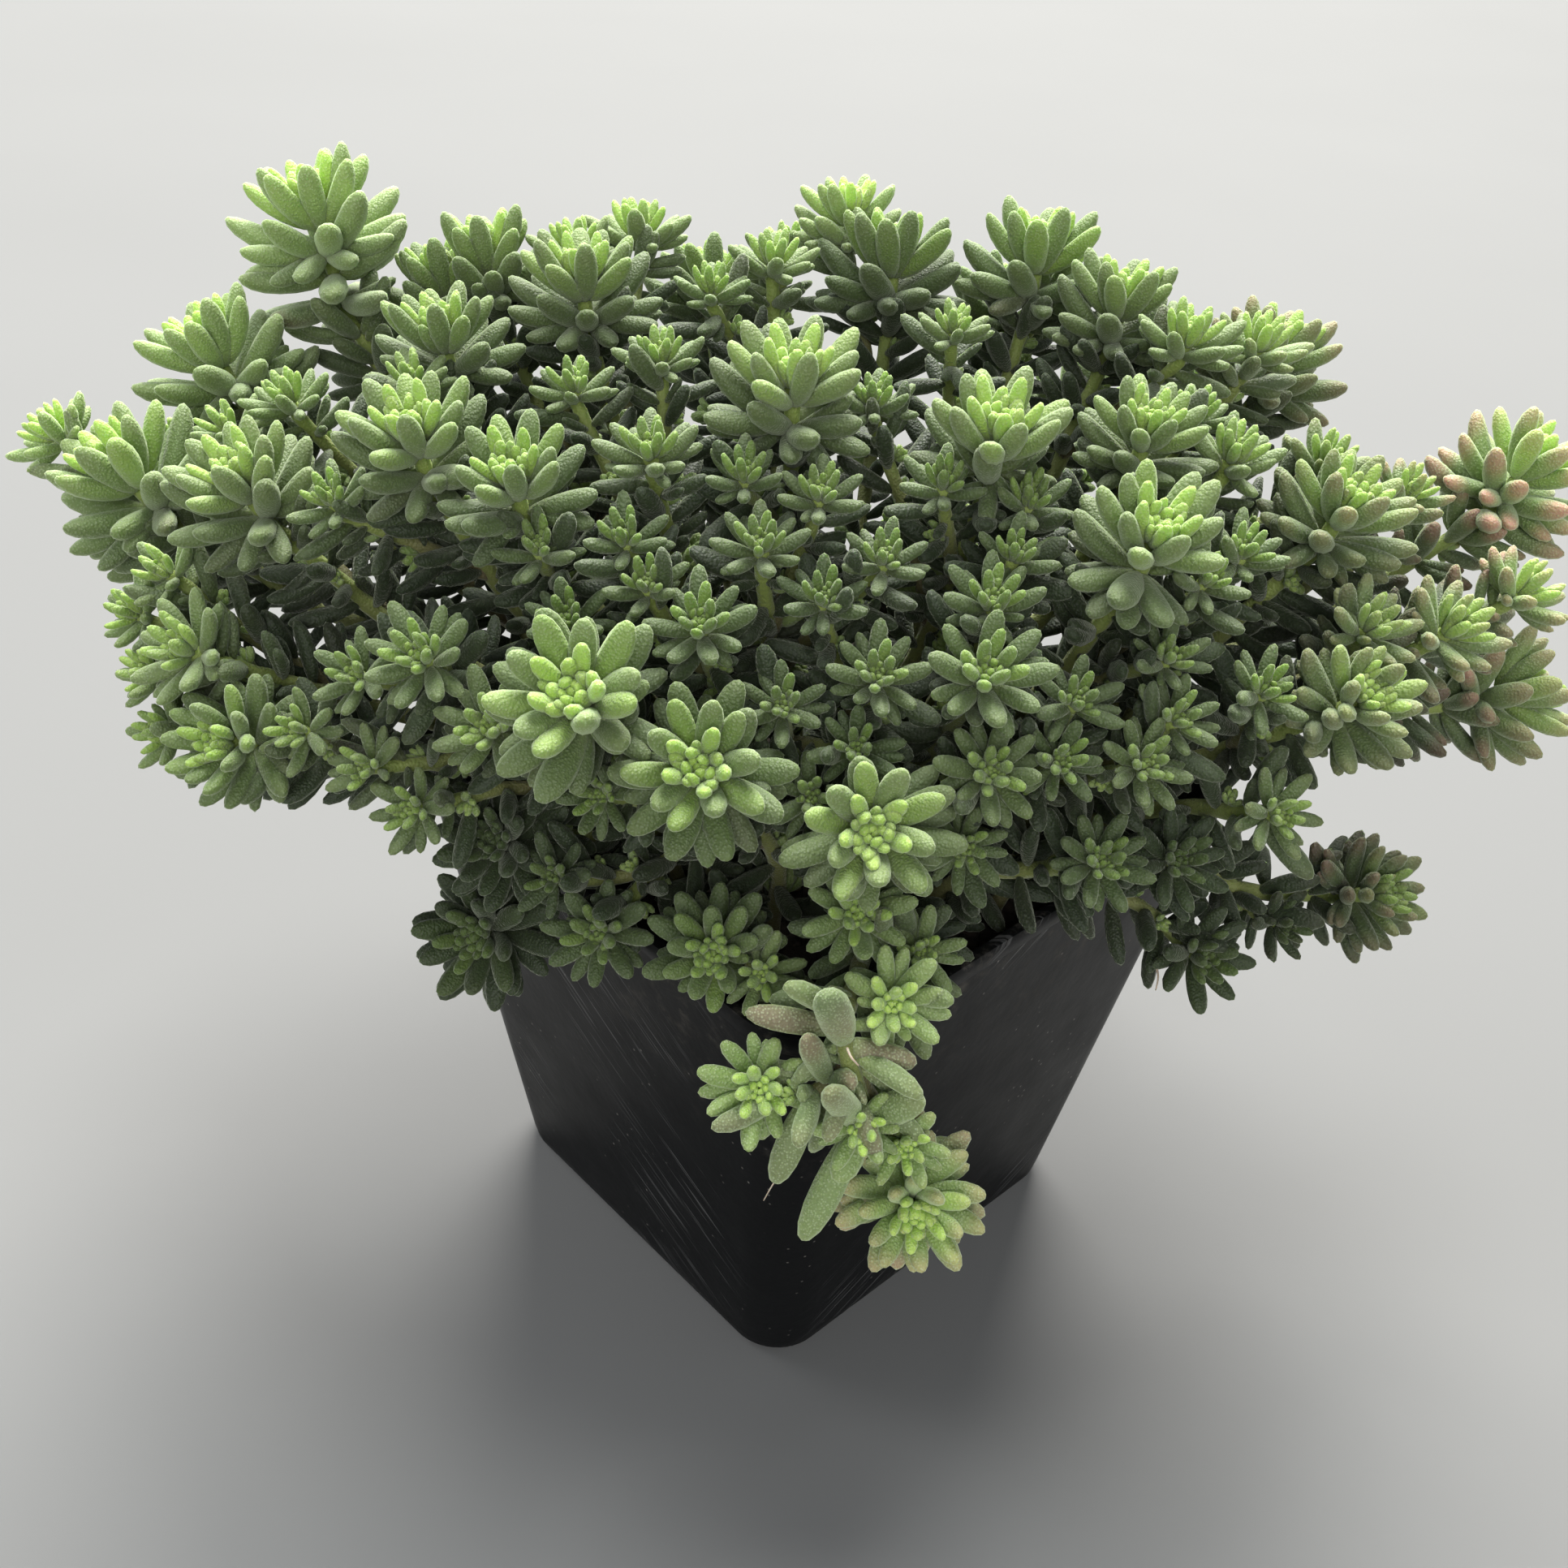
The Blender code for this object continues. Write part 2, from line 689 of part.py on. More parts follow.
class Shoot:
    """One leafy shoot: a stem path, and a crown of leaves at its end."""

    def __init__(self, index, tip, aim, reach, rows, crest=None):
        self.index = index
        self.aim = aim
        self.reach = reach
        self.core = min(max(CORE_SHARE * reach, THINNEST_CORE), THICKEST_CORE)
        self.rows = rows
        if rows is None:
            self.rows = 2 if reach >= BIG_REACH else 1
        self.sides = MIDDLE_SIDES if reach >= SMALL_REACH else SMALL_SIDES
        if self.rows > 1:
            self.sides = BIG_SIDES
        self.crest = crest
        self.step = ROW_SHARE * reach
        self.top = tip - aim * TOP_SHARE * reach
        self.foot = self.top - aim * self.step * self.rows
        self.peak = self.top + aim * self.core * PEAK_SHARE
        self.path = None
        self.radius = STEM_RADIUS
        self.whorls = 0
        self.leaves = {}

    def set_path(self, path, radius, most_whorls):
        """Gives the shoot its path, and cuts whorls off the last stretch of it."""
        stretch = path[-1] - path[-2]
        length = np.linalg.norm(stretch)
        pieces = max(round(length / WHORL_STEP), 1)
        self.whorls = min(pieces, most_whorls)
        step = length / pieces if pieces <= most_whorls else WHORL_STEP
        rings = self.whorls - 1 if pieces <= most_whorls else self.whorls
        added = [path[-1] - stretch / length * step * number for number in range(rings, 0, -1)]
        self.path = np.vstack([path[:-1], *added, path[-1:]])
        self.radius = radius

    def frames(self):
        """Rings of places round the whole shoot, from root to crown."""
        path = self.path
        rings = []
        across = None
        for number, place in enumerate(path):
            before = path[max(number - 1, 0)]
            after = path[min(number + 1, len(path) - 1)]
            along = unit(after - before) if number < len(path) - 1 else self.aim
            if across is None:
                across = unit(np.cross(along, RING_START))
            across = unit(across - along * (across @ along))
            share = number / max(len(path) - 1, 1)
            radius = self.radius + (min(self.core, self.radius) - self.radius) * share
            if number == 0 and self.radius < STEM_RADIUS:
                radius = BRANCH_START_RADIUS
            below = min(len(path) - 1 - number, self.whorls)
            turn = -below * TURN * BIG_SIDES / self.sides
            rings.append(ring_about(place, along, across, radius, turn, self.sides))
        for row in range(1, self.rows + 1):
            place = self.foot + (self.top - self.foot) * row / self.rows
            radius = self.core * (1.0 if row < self.rows else CORE_TAPER)
            turn = row * TURN * BIG_SIDES / self.sides
            rings.append(ring_about(place, self.aim, across, radius, turn, self.sides))
        return rings


def ring_about(place, along, across, radius, turn, sides):
    other = np.cross(along, across)
    angles = [turn + 2 * math.pi * step / sides for step in range(sides)]
    return [place + radius * (math.cos(a) * across + math.sin(a) * other) for a in angles]


def stem_path(shoot, root, crowd):
    """Path from a hole to the crown that keeps clear of the pot and of other stems."""
    low = np.array((root[0], root[1], SOIL_TOP - HOLE_DEPTH + GAP))
    collar = np.array((root[0], root[1], SOIL_TOP + COLLAR_RISE))
    if shoot.crest is not None:
        return hanging_path(shoot, low, collar)
    length = np.linalg.norm(shoot.foot - collar)
    best = None
    sideways = unit(np.cross(level(shoot.foot - collar) + 1e-6 * SIDE, UP))
    for rise, pull, bow in itertools.product(PATH_RISES, PATH_PULLS, PATH_BOWS):
        middle = collar + UP * rise * length + sideways * bow
        late = shoot.foot - shoot.aim * pull * length + sideways * bow
        curve = bezier((collar, middle, late, shoot.foot), STEM_STEPS)
        places, radii = balls_along(curve, STEM_RADIUS)
        places, radii = places[COLLAR_BALLS:], radii[COLLAR_BALLS:]
        room = crowd.room(places, radii, (shoot.index,))
        if best is None or room > best[0]:
            best = (room, curve)
        if room > 2 * GAP:
            break
    return np.vstack((low, best[1])), best[0]


def hanging_path(shoot, low, collar):
    """Path up from the soil, over the rim at the crest and down to the crown."""
    crest = shoot.crest
    out = unit(level(crest - collar))
    rise = crest[2] - collar[2]
    before = crest - out * CREST_PULL * rise
    first = bezier((collar, collar + UP * rise, before, crest), CREST_STEPS)
    drop = crest[2] - shoot.foot[2]
    ahead = crest + out * CREST_LEAD * drop
    above = shoot.foot + UP * HOOK_RISE * drop - shoot.aim * HOOK_PULL * drop
    second = bezier((crest, ahead, above, shoot.foot), CREST_STEPS)
    path = np.vstack((low, first, second[1:]))
    places = balls_along(path[CREST_STEPS:], STEM_RADIUS)[0]
    return path, min(pot_room(place) for place in places) - STEM_RADIUS


def branch_path(shoot, main, family, crowd):
    """Path from the main stem to a side crown."""
    best = None
    path = main[1:]
    tries = itertools.product(FORKS, BRANCH_PULLS, BRANCH_RISES, BRANCH_BOWS)
    for fork, pull, rise, bow in tries:
        place = fork * (len(path) - 1)
        number = int(place)
        start = path[number] + (path[number + 1] - path[number]) * (place - number)
        along = unit(path[number + 1] - path[number])
        length = np.linalg.norm(shoot.foot - start)
        shift = unit(np.cross(along, shoot.foot - start)) * bow
        middle = start + along * rise * length + shift
        late = shoot.foot - shoot.aim * pull * length + shift
        curve = bezier((start, middle, late, shoot.foot), BRANCH_STEPS)
        balls, radii = balls_along(curve, BRANCH_RADIUS)
        room = crowd.room(balls, radii, family)
        score = min(room, 2 * GAP) + LEAN_WORTH * (along @ unit(shoot.foot - start))
        score -= LENGTH_COST * length + BOW_COST * abs(bow)
        if best is None or score > best[0]:
            best = (score, curve, room)
    return best[1], best[2]


def leaf_balls(base, along, length):
    places = base + along * (BALL_PLACES * length)[:, None]
    return places, BALL_RADII * LEAF_WIDTH * length


def plan_row(shoot, corners, key, lift, share, crowd, rng):
    """Finds room for the leaves of one row, one on each face between two rings or of the fan."""
    middle = np.mean(corners[0], axis=0)
    axis = unit(np.mean(np.atleast_2d(corners[1]), axis=0) - middle)
    for side in range(shoot.sides):
        after = (side + 1) % shoot.sides
        low, high = corners
        if key == "fan":
            base = (low[side] + low[after] + high) / 3
        else:
            base = (low[side] + low[after] + high[side] + high[after]) / 4
        radial = base - middle
        radial = unit(radial - axis * (radial @ axis))
        turned = np.cross(axis, radial)
        lean = rng.uniform(-LEAF_SWAY, LEAF_SWAY)
        swing = rng.uniform(-LEAF_SWAY, LEAF_SWAY)
        full = share * shoot.reach * rng.uniform(LEAF_SHORTEST, LEAF_LONGEST)
        for scale, raised, moved in LEAF_TRIES:
            up = math.radians(lift + lean + raised)
            round_axis = math.radians(swing + moved)
            out = math.cos(round_axis) * radial + math.sin(round_axis) * turned
            along = math.cos(up) * out + math.sin(up) * axis
            length = full * scale
            places, radii = leaf_balls(base, along, length)
            if crowd.room(places, radii, (shoot.index,)) > LEAF_GAP:
                crowd.add(places, radii, shoot.index)
                shoot.leaves[key, side] = (base, along, length)
                break


def grow_leaf(bm, face, leaf, aim, small):
    """Raises a face of the stem to a small leaf's tip, or extrudes it into a fleshy leaf."""
    base, along, length = leaf
    if small:
        close_tower(bm, face, base + along * length)
        return
    across = unit(np.cross(aim, along))
    over = np.cross(along, across)
    end = bmesh.ops.extrude_discrete_faces(bm, faces=[face])["faces"][0]
    corners = [np.array(vert.co) for vert in end.verts]
    middle = sum(corners) / len(corners)
    boost = SQUARE_CORNER if len(corners) == 4 else TRIANGLE_CORNER
    for vert, corner in zip(end.verts, corners):
        angle = math.atan2((corner - middle) @ over, (corner - middle) @ across)
        wide = boost * LEAF_WIDTH / 2 * length * math.cos(angle)
        thick = boost * LEAF_THICKNESS / 2 * length * math.sin(angle)
        vert.co = base + along * WIDEST_AT * length + across * wide + over * thick
    close_tower(bm, end, base + along * length)


def shoot_mesh(shoot):
    rings = shoot.frames()
    bm = bmesh.new()
    face = start_tower(bm, rings[0])
    rows = []
    for ring in rings[1:]:
        face, walls = raise_tower(bm, face, ring)
        rows.append(walls)
    fan = close_tower(bm, face, shoot.peak)
    faces = {("fan", side): fan[side] for side in range(shoot.sides)}
    for row in range(shoot.rows + shoot.whorls):
        walls = rows[len(rows) - 1 - row]
        faces.update({(row, side): walls[side] for side in range(shoot.sides)})
    for key, leaf in sorted(shoot.leaves.items(), key=str):
        small = shoot.sides != MIDDLE_SIDES if key[0] == "fan" else key[0] >= shoot.rows
        grow_leaf(bm, faces[key], leaf, shoot.aim, small)
    bmesh.ops.triangulate(bm, faces=[face for face in bm.faces if len(face.verts) > 3])
    return finished(bm, "shoot")


def joined(name, shoots, surface, collection, helpers):
    """The shoots of one stem as one closed body."""
    body = node(name, shoot_mesh(shoots[0]), surface, collection)
    if len(shoots) > 1:
        for shoot in shoots[1:]:
            helpers.objects.link(bpy.data.objects.new("branch", shoot_mesh(shoot)))
        modifier = body.modifiers.new("join", "BOOLEAN")
        modifier.operation = "UNION"
        modifier.solver = "MANIFOLD"
        modifier.operand_type = "COLLECTION"
        modifier.collection = helpers
        graph = bpy.context.evaluated_depsgraph_get()
        whole = bpy.data.meshes.new_from_object(body.evaluated_get(graph))
        body.modifiers.clear()
        body.data = whole
        for helper in list(helpers.objects):
            bpy.data.objects.remove(helper)
        body.data.materials.clear()
        body.data.materials.append(surface)
    return body


def all_shoots():
    """Every stem as a name and its shoots, the main one first, with paths and leaves found."""
    stems = []
    index = 0
    for group, rows in STEMS.items():
        for number, row in enumerate(rows, 1):
            shoots = []
            for tip in row:
                place, reach = tip_place(tip)
                crest = tip_place(tip.crest)[0] if tip.crest else None
                aim = outward(place)
                if tip.ahead is not None:
                    aim = unit(aim + AHEAD_LIFT * UP)
                shoots.append(Shoot(index, place, aim, reach, tip.rows, crest))
                index += 1
            stems.append((f"stem_{group}_{number}", shoots))
    for number, row in enumerate(rear_tips(), 1):
        shoots = []
        for place, reach in row:
            shoots.append(Shoot(index, place, outward(place), reach, None))
            index += 1
        stems.append((f"stem_rear_{number}", shoots))
    return stems


def place_stems(stems, crowd):
    for name, shoots in stems:
        for shoot in shoots:
            crowd.add(*balls_along((shoot.foot, shoot.top), shoot.core), shoot.index)
    roots = root_places([shoots[0].foot for name, shoots in stems])
    order = sorted(range(len(stems)), key=lambda i: stems[i][1][0].foot[2])
    mains = {}
    for number in order:
        name, shoots = stems[number]
        path, room = stem_path(shoots[0], roots[number], crowd)
        mains[number] = path
        if room < GAP:
            print(f"{name} has only {room * 1000:.2f} mm of room")
        crowd.add(*balls_along(path[1:], STEM_RADIUS), shoots[0].index)
    for number in order:
        name, shoots = stems[number]
        family = [shoot.index for shoot in shoots]
        for shoot in shoots[1:]:
            path, room = branch_path(shoot, mains[number], family, crowd)
            shoot.set_path(path, BRANCH_RADIUS, SIDE_WHORLS)
            if room < GAP:
                print(f"{name} has a side shoot with only {room * 1000:.2f} mm of room")
            crowd.add(*balls_along(path, BRANCH_RADIUS), shoot.index)
    for number, (name, shoots) in enumerate(stems):
        steps = mains[number][1:] - mains[number][:-1]
        long = np.linalg.norm(steps, axis=1).sum() > LONG_STEM
        shoots[0].set_path(mains[number], STEM_RADIUS, MAIN_WHORLS if long else 1)
    return roots


def plan_leaves(stems, crowd):
    """Leaves in rounds, the top of every crown first, so that crowded crowns share the room."""
    rng = np.random.default_rng(SEED)
    shoots = [shoot for name, row in stems for shoot in row]
    for shoot in shoots:
        lift, share = (BUD_LIFT, BUD_SHARE)
        if shoot.rows > 1:
            lift, share = (BIG_BUD_LIFT, BIG_BUD_SHARE)
        plan_row(shoot, (shoot.frames()[-1], shoot.peak), "fan", lift, share, crowd, rng)
    for row in range(max(shoot.rows for shoot in shoots)):
        for shoot in shoots:
            if row >= shoot.rows:
                continue
            rings = shoot.frames()
            corners = (rings[-2 - row], rings[-1 - row])
            lift = (ROW_LIFT if shoot.rows == 1 else BIG_ROW_LIFT) - ROW_FALL * row
            share = UPPER_ROW_SHARE if row == 0 and shoot.rows > 1 else 1.0
            plan_row(shoot, corners, row, max(lift, LOWEST_LIFT), share, crowd, rng)
    for whorl in range(MAIN_WHORLS):
        for shoot in shoots:
            if whorl >= shoot.whorls:
                continue
            rings = shoot.frames()
            row = shoot.rows + whorl
            corners = (rings[-2 - row], rings[-1 - row])
            plan_row(shoot, corners, row, WHORL_LIFT, WHORL_SHARE, crowd, rng)


def main():
    for old in list(bpy.data.objects):
        bpy.data.objects.remove(old)
    scene = bpy.context.scene.collection
    parts = bpy.data.collections.new("potted_sedum")
    cutters = bpy.data.collections.new("cutters")
    helpers = bpy.data.collections.new("helpers")
    for made in (parts, cutters, helpers):
        scene.children.link(made)
    leaf_green = material("leaf_green", SHOOT_COLOR, 0.62)
    pot_black = material("pot_black", POT_COLOR, 0.45)
    soil_dark = material("soil_dark", SOIL_COLOR, 0.95)
    stems = all_shoots()
    crowd = Crowd(CROWD_SIZE)
    roots = place_stems(stems, crowd)
    plan_leaves(stems, crowd)
    make_pot(pot_black, parts, cutters)
    make_soil(roots, soil_dark, parts, cutters)
    for name, shoots in stems:
        joined(name, shoots, leaf_green, parts, helpers)
    bpy.data.collections.remove(helpers)


main()
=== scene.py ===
"""Looks of the potted sedum: fleshy velvety leaves, stems, pot, soil, light and camera.

World frame in metres, the same as the frame's. The stems, crowns and leaves follow the same
table and the same rules as the frame's solids, so each fleshy leaf stands where its solid does.
Smaller and lower leaves, buds, roots and grit are added between them.
"""

import itertools
import math
from collections import namedtuple

import bmesh
import bpy
import numpy as np
from mathutils import Matrix, Vector


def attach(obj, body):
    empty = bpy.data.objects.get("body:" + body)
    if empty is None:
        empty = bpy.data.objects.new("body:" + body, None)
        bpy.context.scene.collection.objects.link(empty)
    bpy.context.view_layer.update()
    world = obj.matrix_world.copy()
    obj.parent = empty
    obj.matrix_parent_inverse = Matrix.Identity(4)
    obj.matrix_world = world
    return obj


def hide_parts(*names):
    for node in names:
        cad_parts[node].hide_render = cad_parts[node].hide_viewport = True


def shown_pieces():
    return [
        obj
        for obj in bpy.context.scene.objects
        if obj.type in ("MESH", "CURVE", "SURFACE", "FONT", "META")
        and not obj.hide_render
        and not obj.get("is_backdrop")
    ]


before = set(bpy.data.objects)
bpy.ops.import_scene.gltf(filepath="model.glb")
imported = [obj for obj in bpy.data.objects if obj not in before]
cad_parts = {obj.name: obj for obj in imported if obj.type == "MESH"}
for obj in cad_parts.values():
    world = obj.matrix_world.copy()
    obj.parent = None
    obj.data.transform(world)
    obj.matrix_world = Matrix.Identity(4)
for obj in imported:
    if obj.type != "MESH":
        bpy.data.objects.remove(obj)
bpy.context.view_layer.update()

# Pot, a standard two and a half inch square pot
RIM_WIDTH = 0.064
BASE_WIDTH = 0.046
POT_HEIGHT = 0.058
WALL = 0.0010
FLOOR = 0.0018
LIP_HEIGHT = 0.0026
LIP_OUT = 0.0008
RIM_CORNER = 0.0070
BASE_CORNER = 0.0056
DRAIN_RADIUS = 0.0035
DRAIN_OFFSET = 0.0140

# Soil
GAP = 0.0003
SOIL_TOP = 0.0520
SOIL_LUMP = 0.0007
HOLE_DEPTH = 0.0055
SOIL_WAVES = (410.0, 370.0, 830.0, 620.0)
SECOND_WAVE = 0.6

# How the clump was seen, used to set each shoot where it grows
CAMERA_PLACE = np.array((0.1011, -0.1054, 0.1596))
CAMERA_AZIMUTH = math.radians(45.1)
CAMERA_TILT = math.radians(35.97)
CAMERA_ROLL = math.radians(4.15)
LENS = 2141.0
PICTURE_MIDDLE = 966.0
NEAREST_SIGHT = 0.060
FARTHEST_SIGHT = 0.300
SIGHT_STEPS = 2401

# Cushion that the shoot tips lie on: half sizes to the side, to the front, to the back and up
SIDE = np.array((math.sqrt(0.5), math.sqrt(0.5), 0.0))
NEAR = np.array((math.sqrt(0.5), -math.sqrt(0.5), 0.0))
UP = np.array((0.0, 0.0, 1.0))
CUSHION_BACK_SHIFT = -0.008
CUSHION_LEVEL = 0.064
CUSHION_SIDE = 0.072
CUSHION_FRONT = 0.048
CUSHION_BACK = 0.056
CUSHION_RISE = 0.038
CUSHION_POWER = 2.4

# How much every shoot leans up from the cushion's own slope, and how much more one does that
# hangs before the cushion
CUSHION_LIFT = 0.40
AHEAD_LIFT = 0.42

# Stems. A path is tried with each rise off the soil, pull behind the crown and bow sideways
# until one has room.
BIG_SIDES = 5
MIDDLE_SIDES = 4
SMALL_SIDES = 3
STEM_STEPS = 3
BRANCH_STEPS = 2
STEM_RADIUS = 0.00085
BRANCH_RADIUS = 0.00072
BRANCH_START_RADIUS = 0.0005
COLLAR_RISE = 0.0014
RING_START = (0.3, 0.95, 0.1)
PATH_RISES = (0.35, 0.5, 0.65, 0.8, 1.0, 1.25, 1.5)
PATH_PULLS = (0.35, 0.15, 0.6)
PATH_BOWS = (0.0, 0.003, -0.003, 0.006, -0.006)
BRANCH_RISES = (0.35, 0.1, 0.6)
BRANCH_PULLS = (0.3, 0.15, 0.5)
BRANCH_BOWS = (0.0, 0.003, -0.003)
LEAN_WORTH = 0.0004
LENGTH_COST = 0.01
BOW_COST = 0.1
CREST_PULL = 0.4
CREST_LEAD = 0.3
HOOK_RISE = 0.18
HOOK_PULL = 0.18
CREST_STEPS = 3
BALL_STEP = 0.0008
COLLAR_BALLS = 3
ROOT_GAP = 0.0043
ROOT_LIMIT = 0.0252
ROOT_SIDE_SHARE = 0.42
ROOT_NEAR_SHARE = 0.50
ROOT_NEAR_SHIFT = 0.004
ROOT_PUSH = 0.51
ROOT_ROUNDS = 300
FORKS = (0.74, 0.60, 0.46, 0.32)

# Crowns and leaves, as shares of how far a leaf reaches
LONGEST_REACH = 0.0094
SHORTEST_REACH = 0.0044
REACH_GROWTH = 1.25
BIG_REACH = 0.0063
SMALL_REACH = 0.0045
CORE_SHARE = 0.150
THINNEST_CORE = 0.00055
THICKEST_CORE = 0.00115
CORE_TAPER = 0.85
PEAK_SHARE = 0.5
TOP_SHARE = 0.22
ROW_SHARE = 0.28
TURN = math.radians(43)
LEAF_WIDTH = 0.38
LEAF_GAP = 0.0004
LEAF_SWAY = 6
LEAF_SHORTEST = 0.92
LEAF_LONGEST = 1.04
LEVEL_REACH = 0.0078
DEPTH_RATE = 1.7
SEED = 5

# How far leaves are raised off level with the crown's base, in degrees, and their share of the
# reach: the young leaves in the middle of a crown, then the rows of older leaves under them
BUD_LIFT = 62
BUD_SHARE = 0.70
BIG_BUD_LIFT = 62
BIG_BUD_SHARE = 0.42
ROW_LIFT = 26
BIG_ROW_LIFT = 48
ROW_FALL = 24
LOWEST_LIFT = -4
UPPER_ROW_SHARE = 0.85

# Leaves in whorls down the stem under a crown: height of a whorl, how many at most on a main
# stem and on a side shoot, and the length of a stem that has them all
WHORL_STEP = 0.0046
MAIN_WHORLS = 2
SIDE_WHORLS = 1
LONG_STEM = 0.044
WHORL_LIFT = 22
WHORL_SHARE = 0.80

# Balls that stand for a leaf when room is sought: how far out each is, and its share of the
# leaf's width
BALL_PLACES = np.array((0.3, 0.45, 0.6, 0.75, 0.88, 0.97))
BALL_RADII = np.array((0.32, 0.38, 0.44, 0.44, 0.32, 0.16))
NEARBY = 0.006

# What is tried for a leaf until it has room: length, and degrees raised and turned round
LEAF_TRIES = (
    (1.0, 0, 0),
    (1.0, 14, 0),
    (1.0, 0, 14),
    (1.0, 0, -14),
    (1.0, 20, 12),
    (1.0, 20, -12),
    (1.0, -14, 0),
    (0.88, 0, 0),
    (0.88, 16, 14),
    (0.88, 16, -14),
    (0.88, -14, 12),
    (0.88, -14, -12),
    (0.75, 0, 0),
    (0.75, 22, 0),
    (0.75, 10, 18),
    (0.75, 10, -18),
    (0.62, 10, 0),
    (0.52, 0, 0),
)

Tip = namedtuple("Tip", "col row reach ahead rows crest", defaults=(None, None, None))
CREST = Tip(col=1040, row=1268, reach=0, ahead=0.0450)

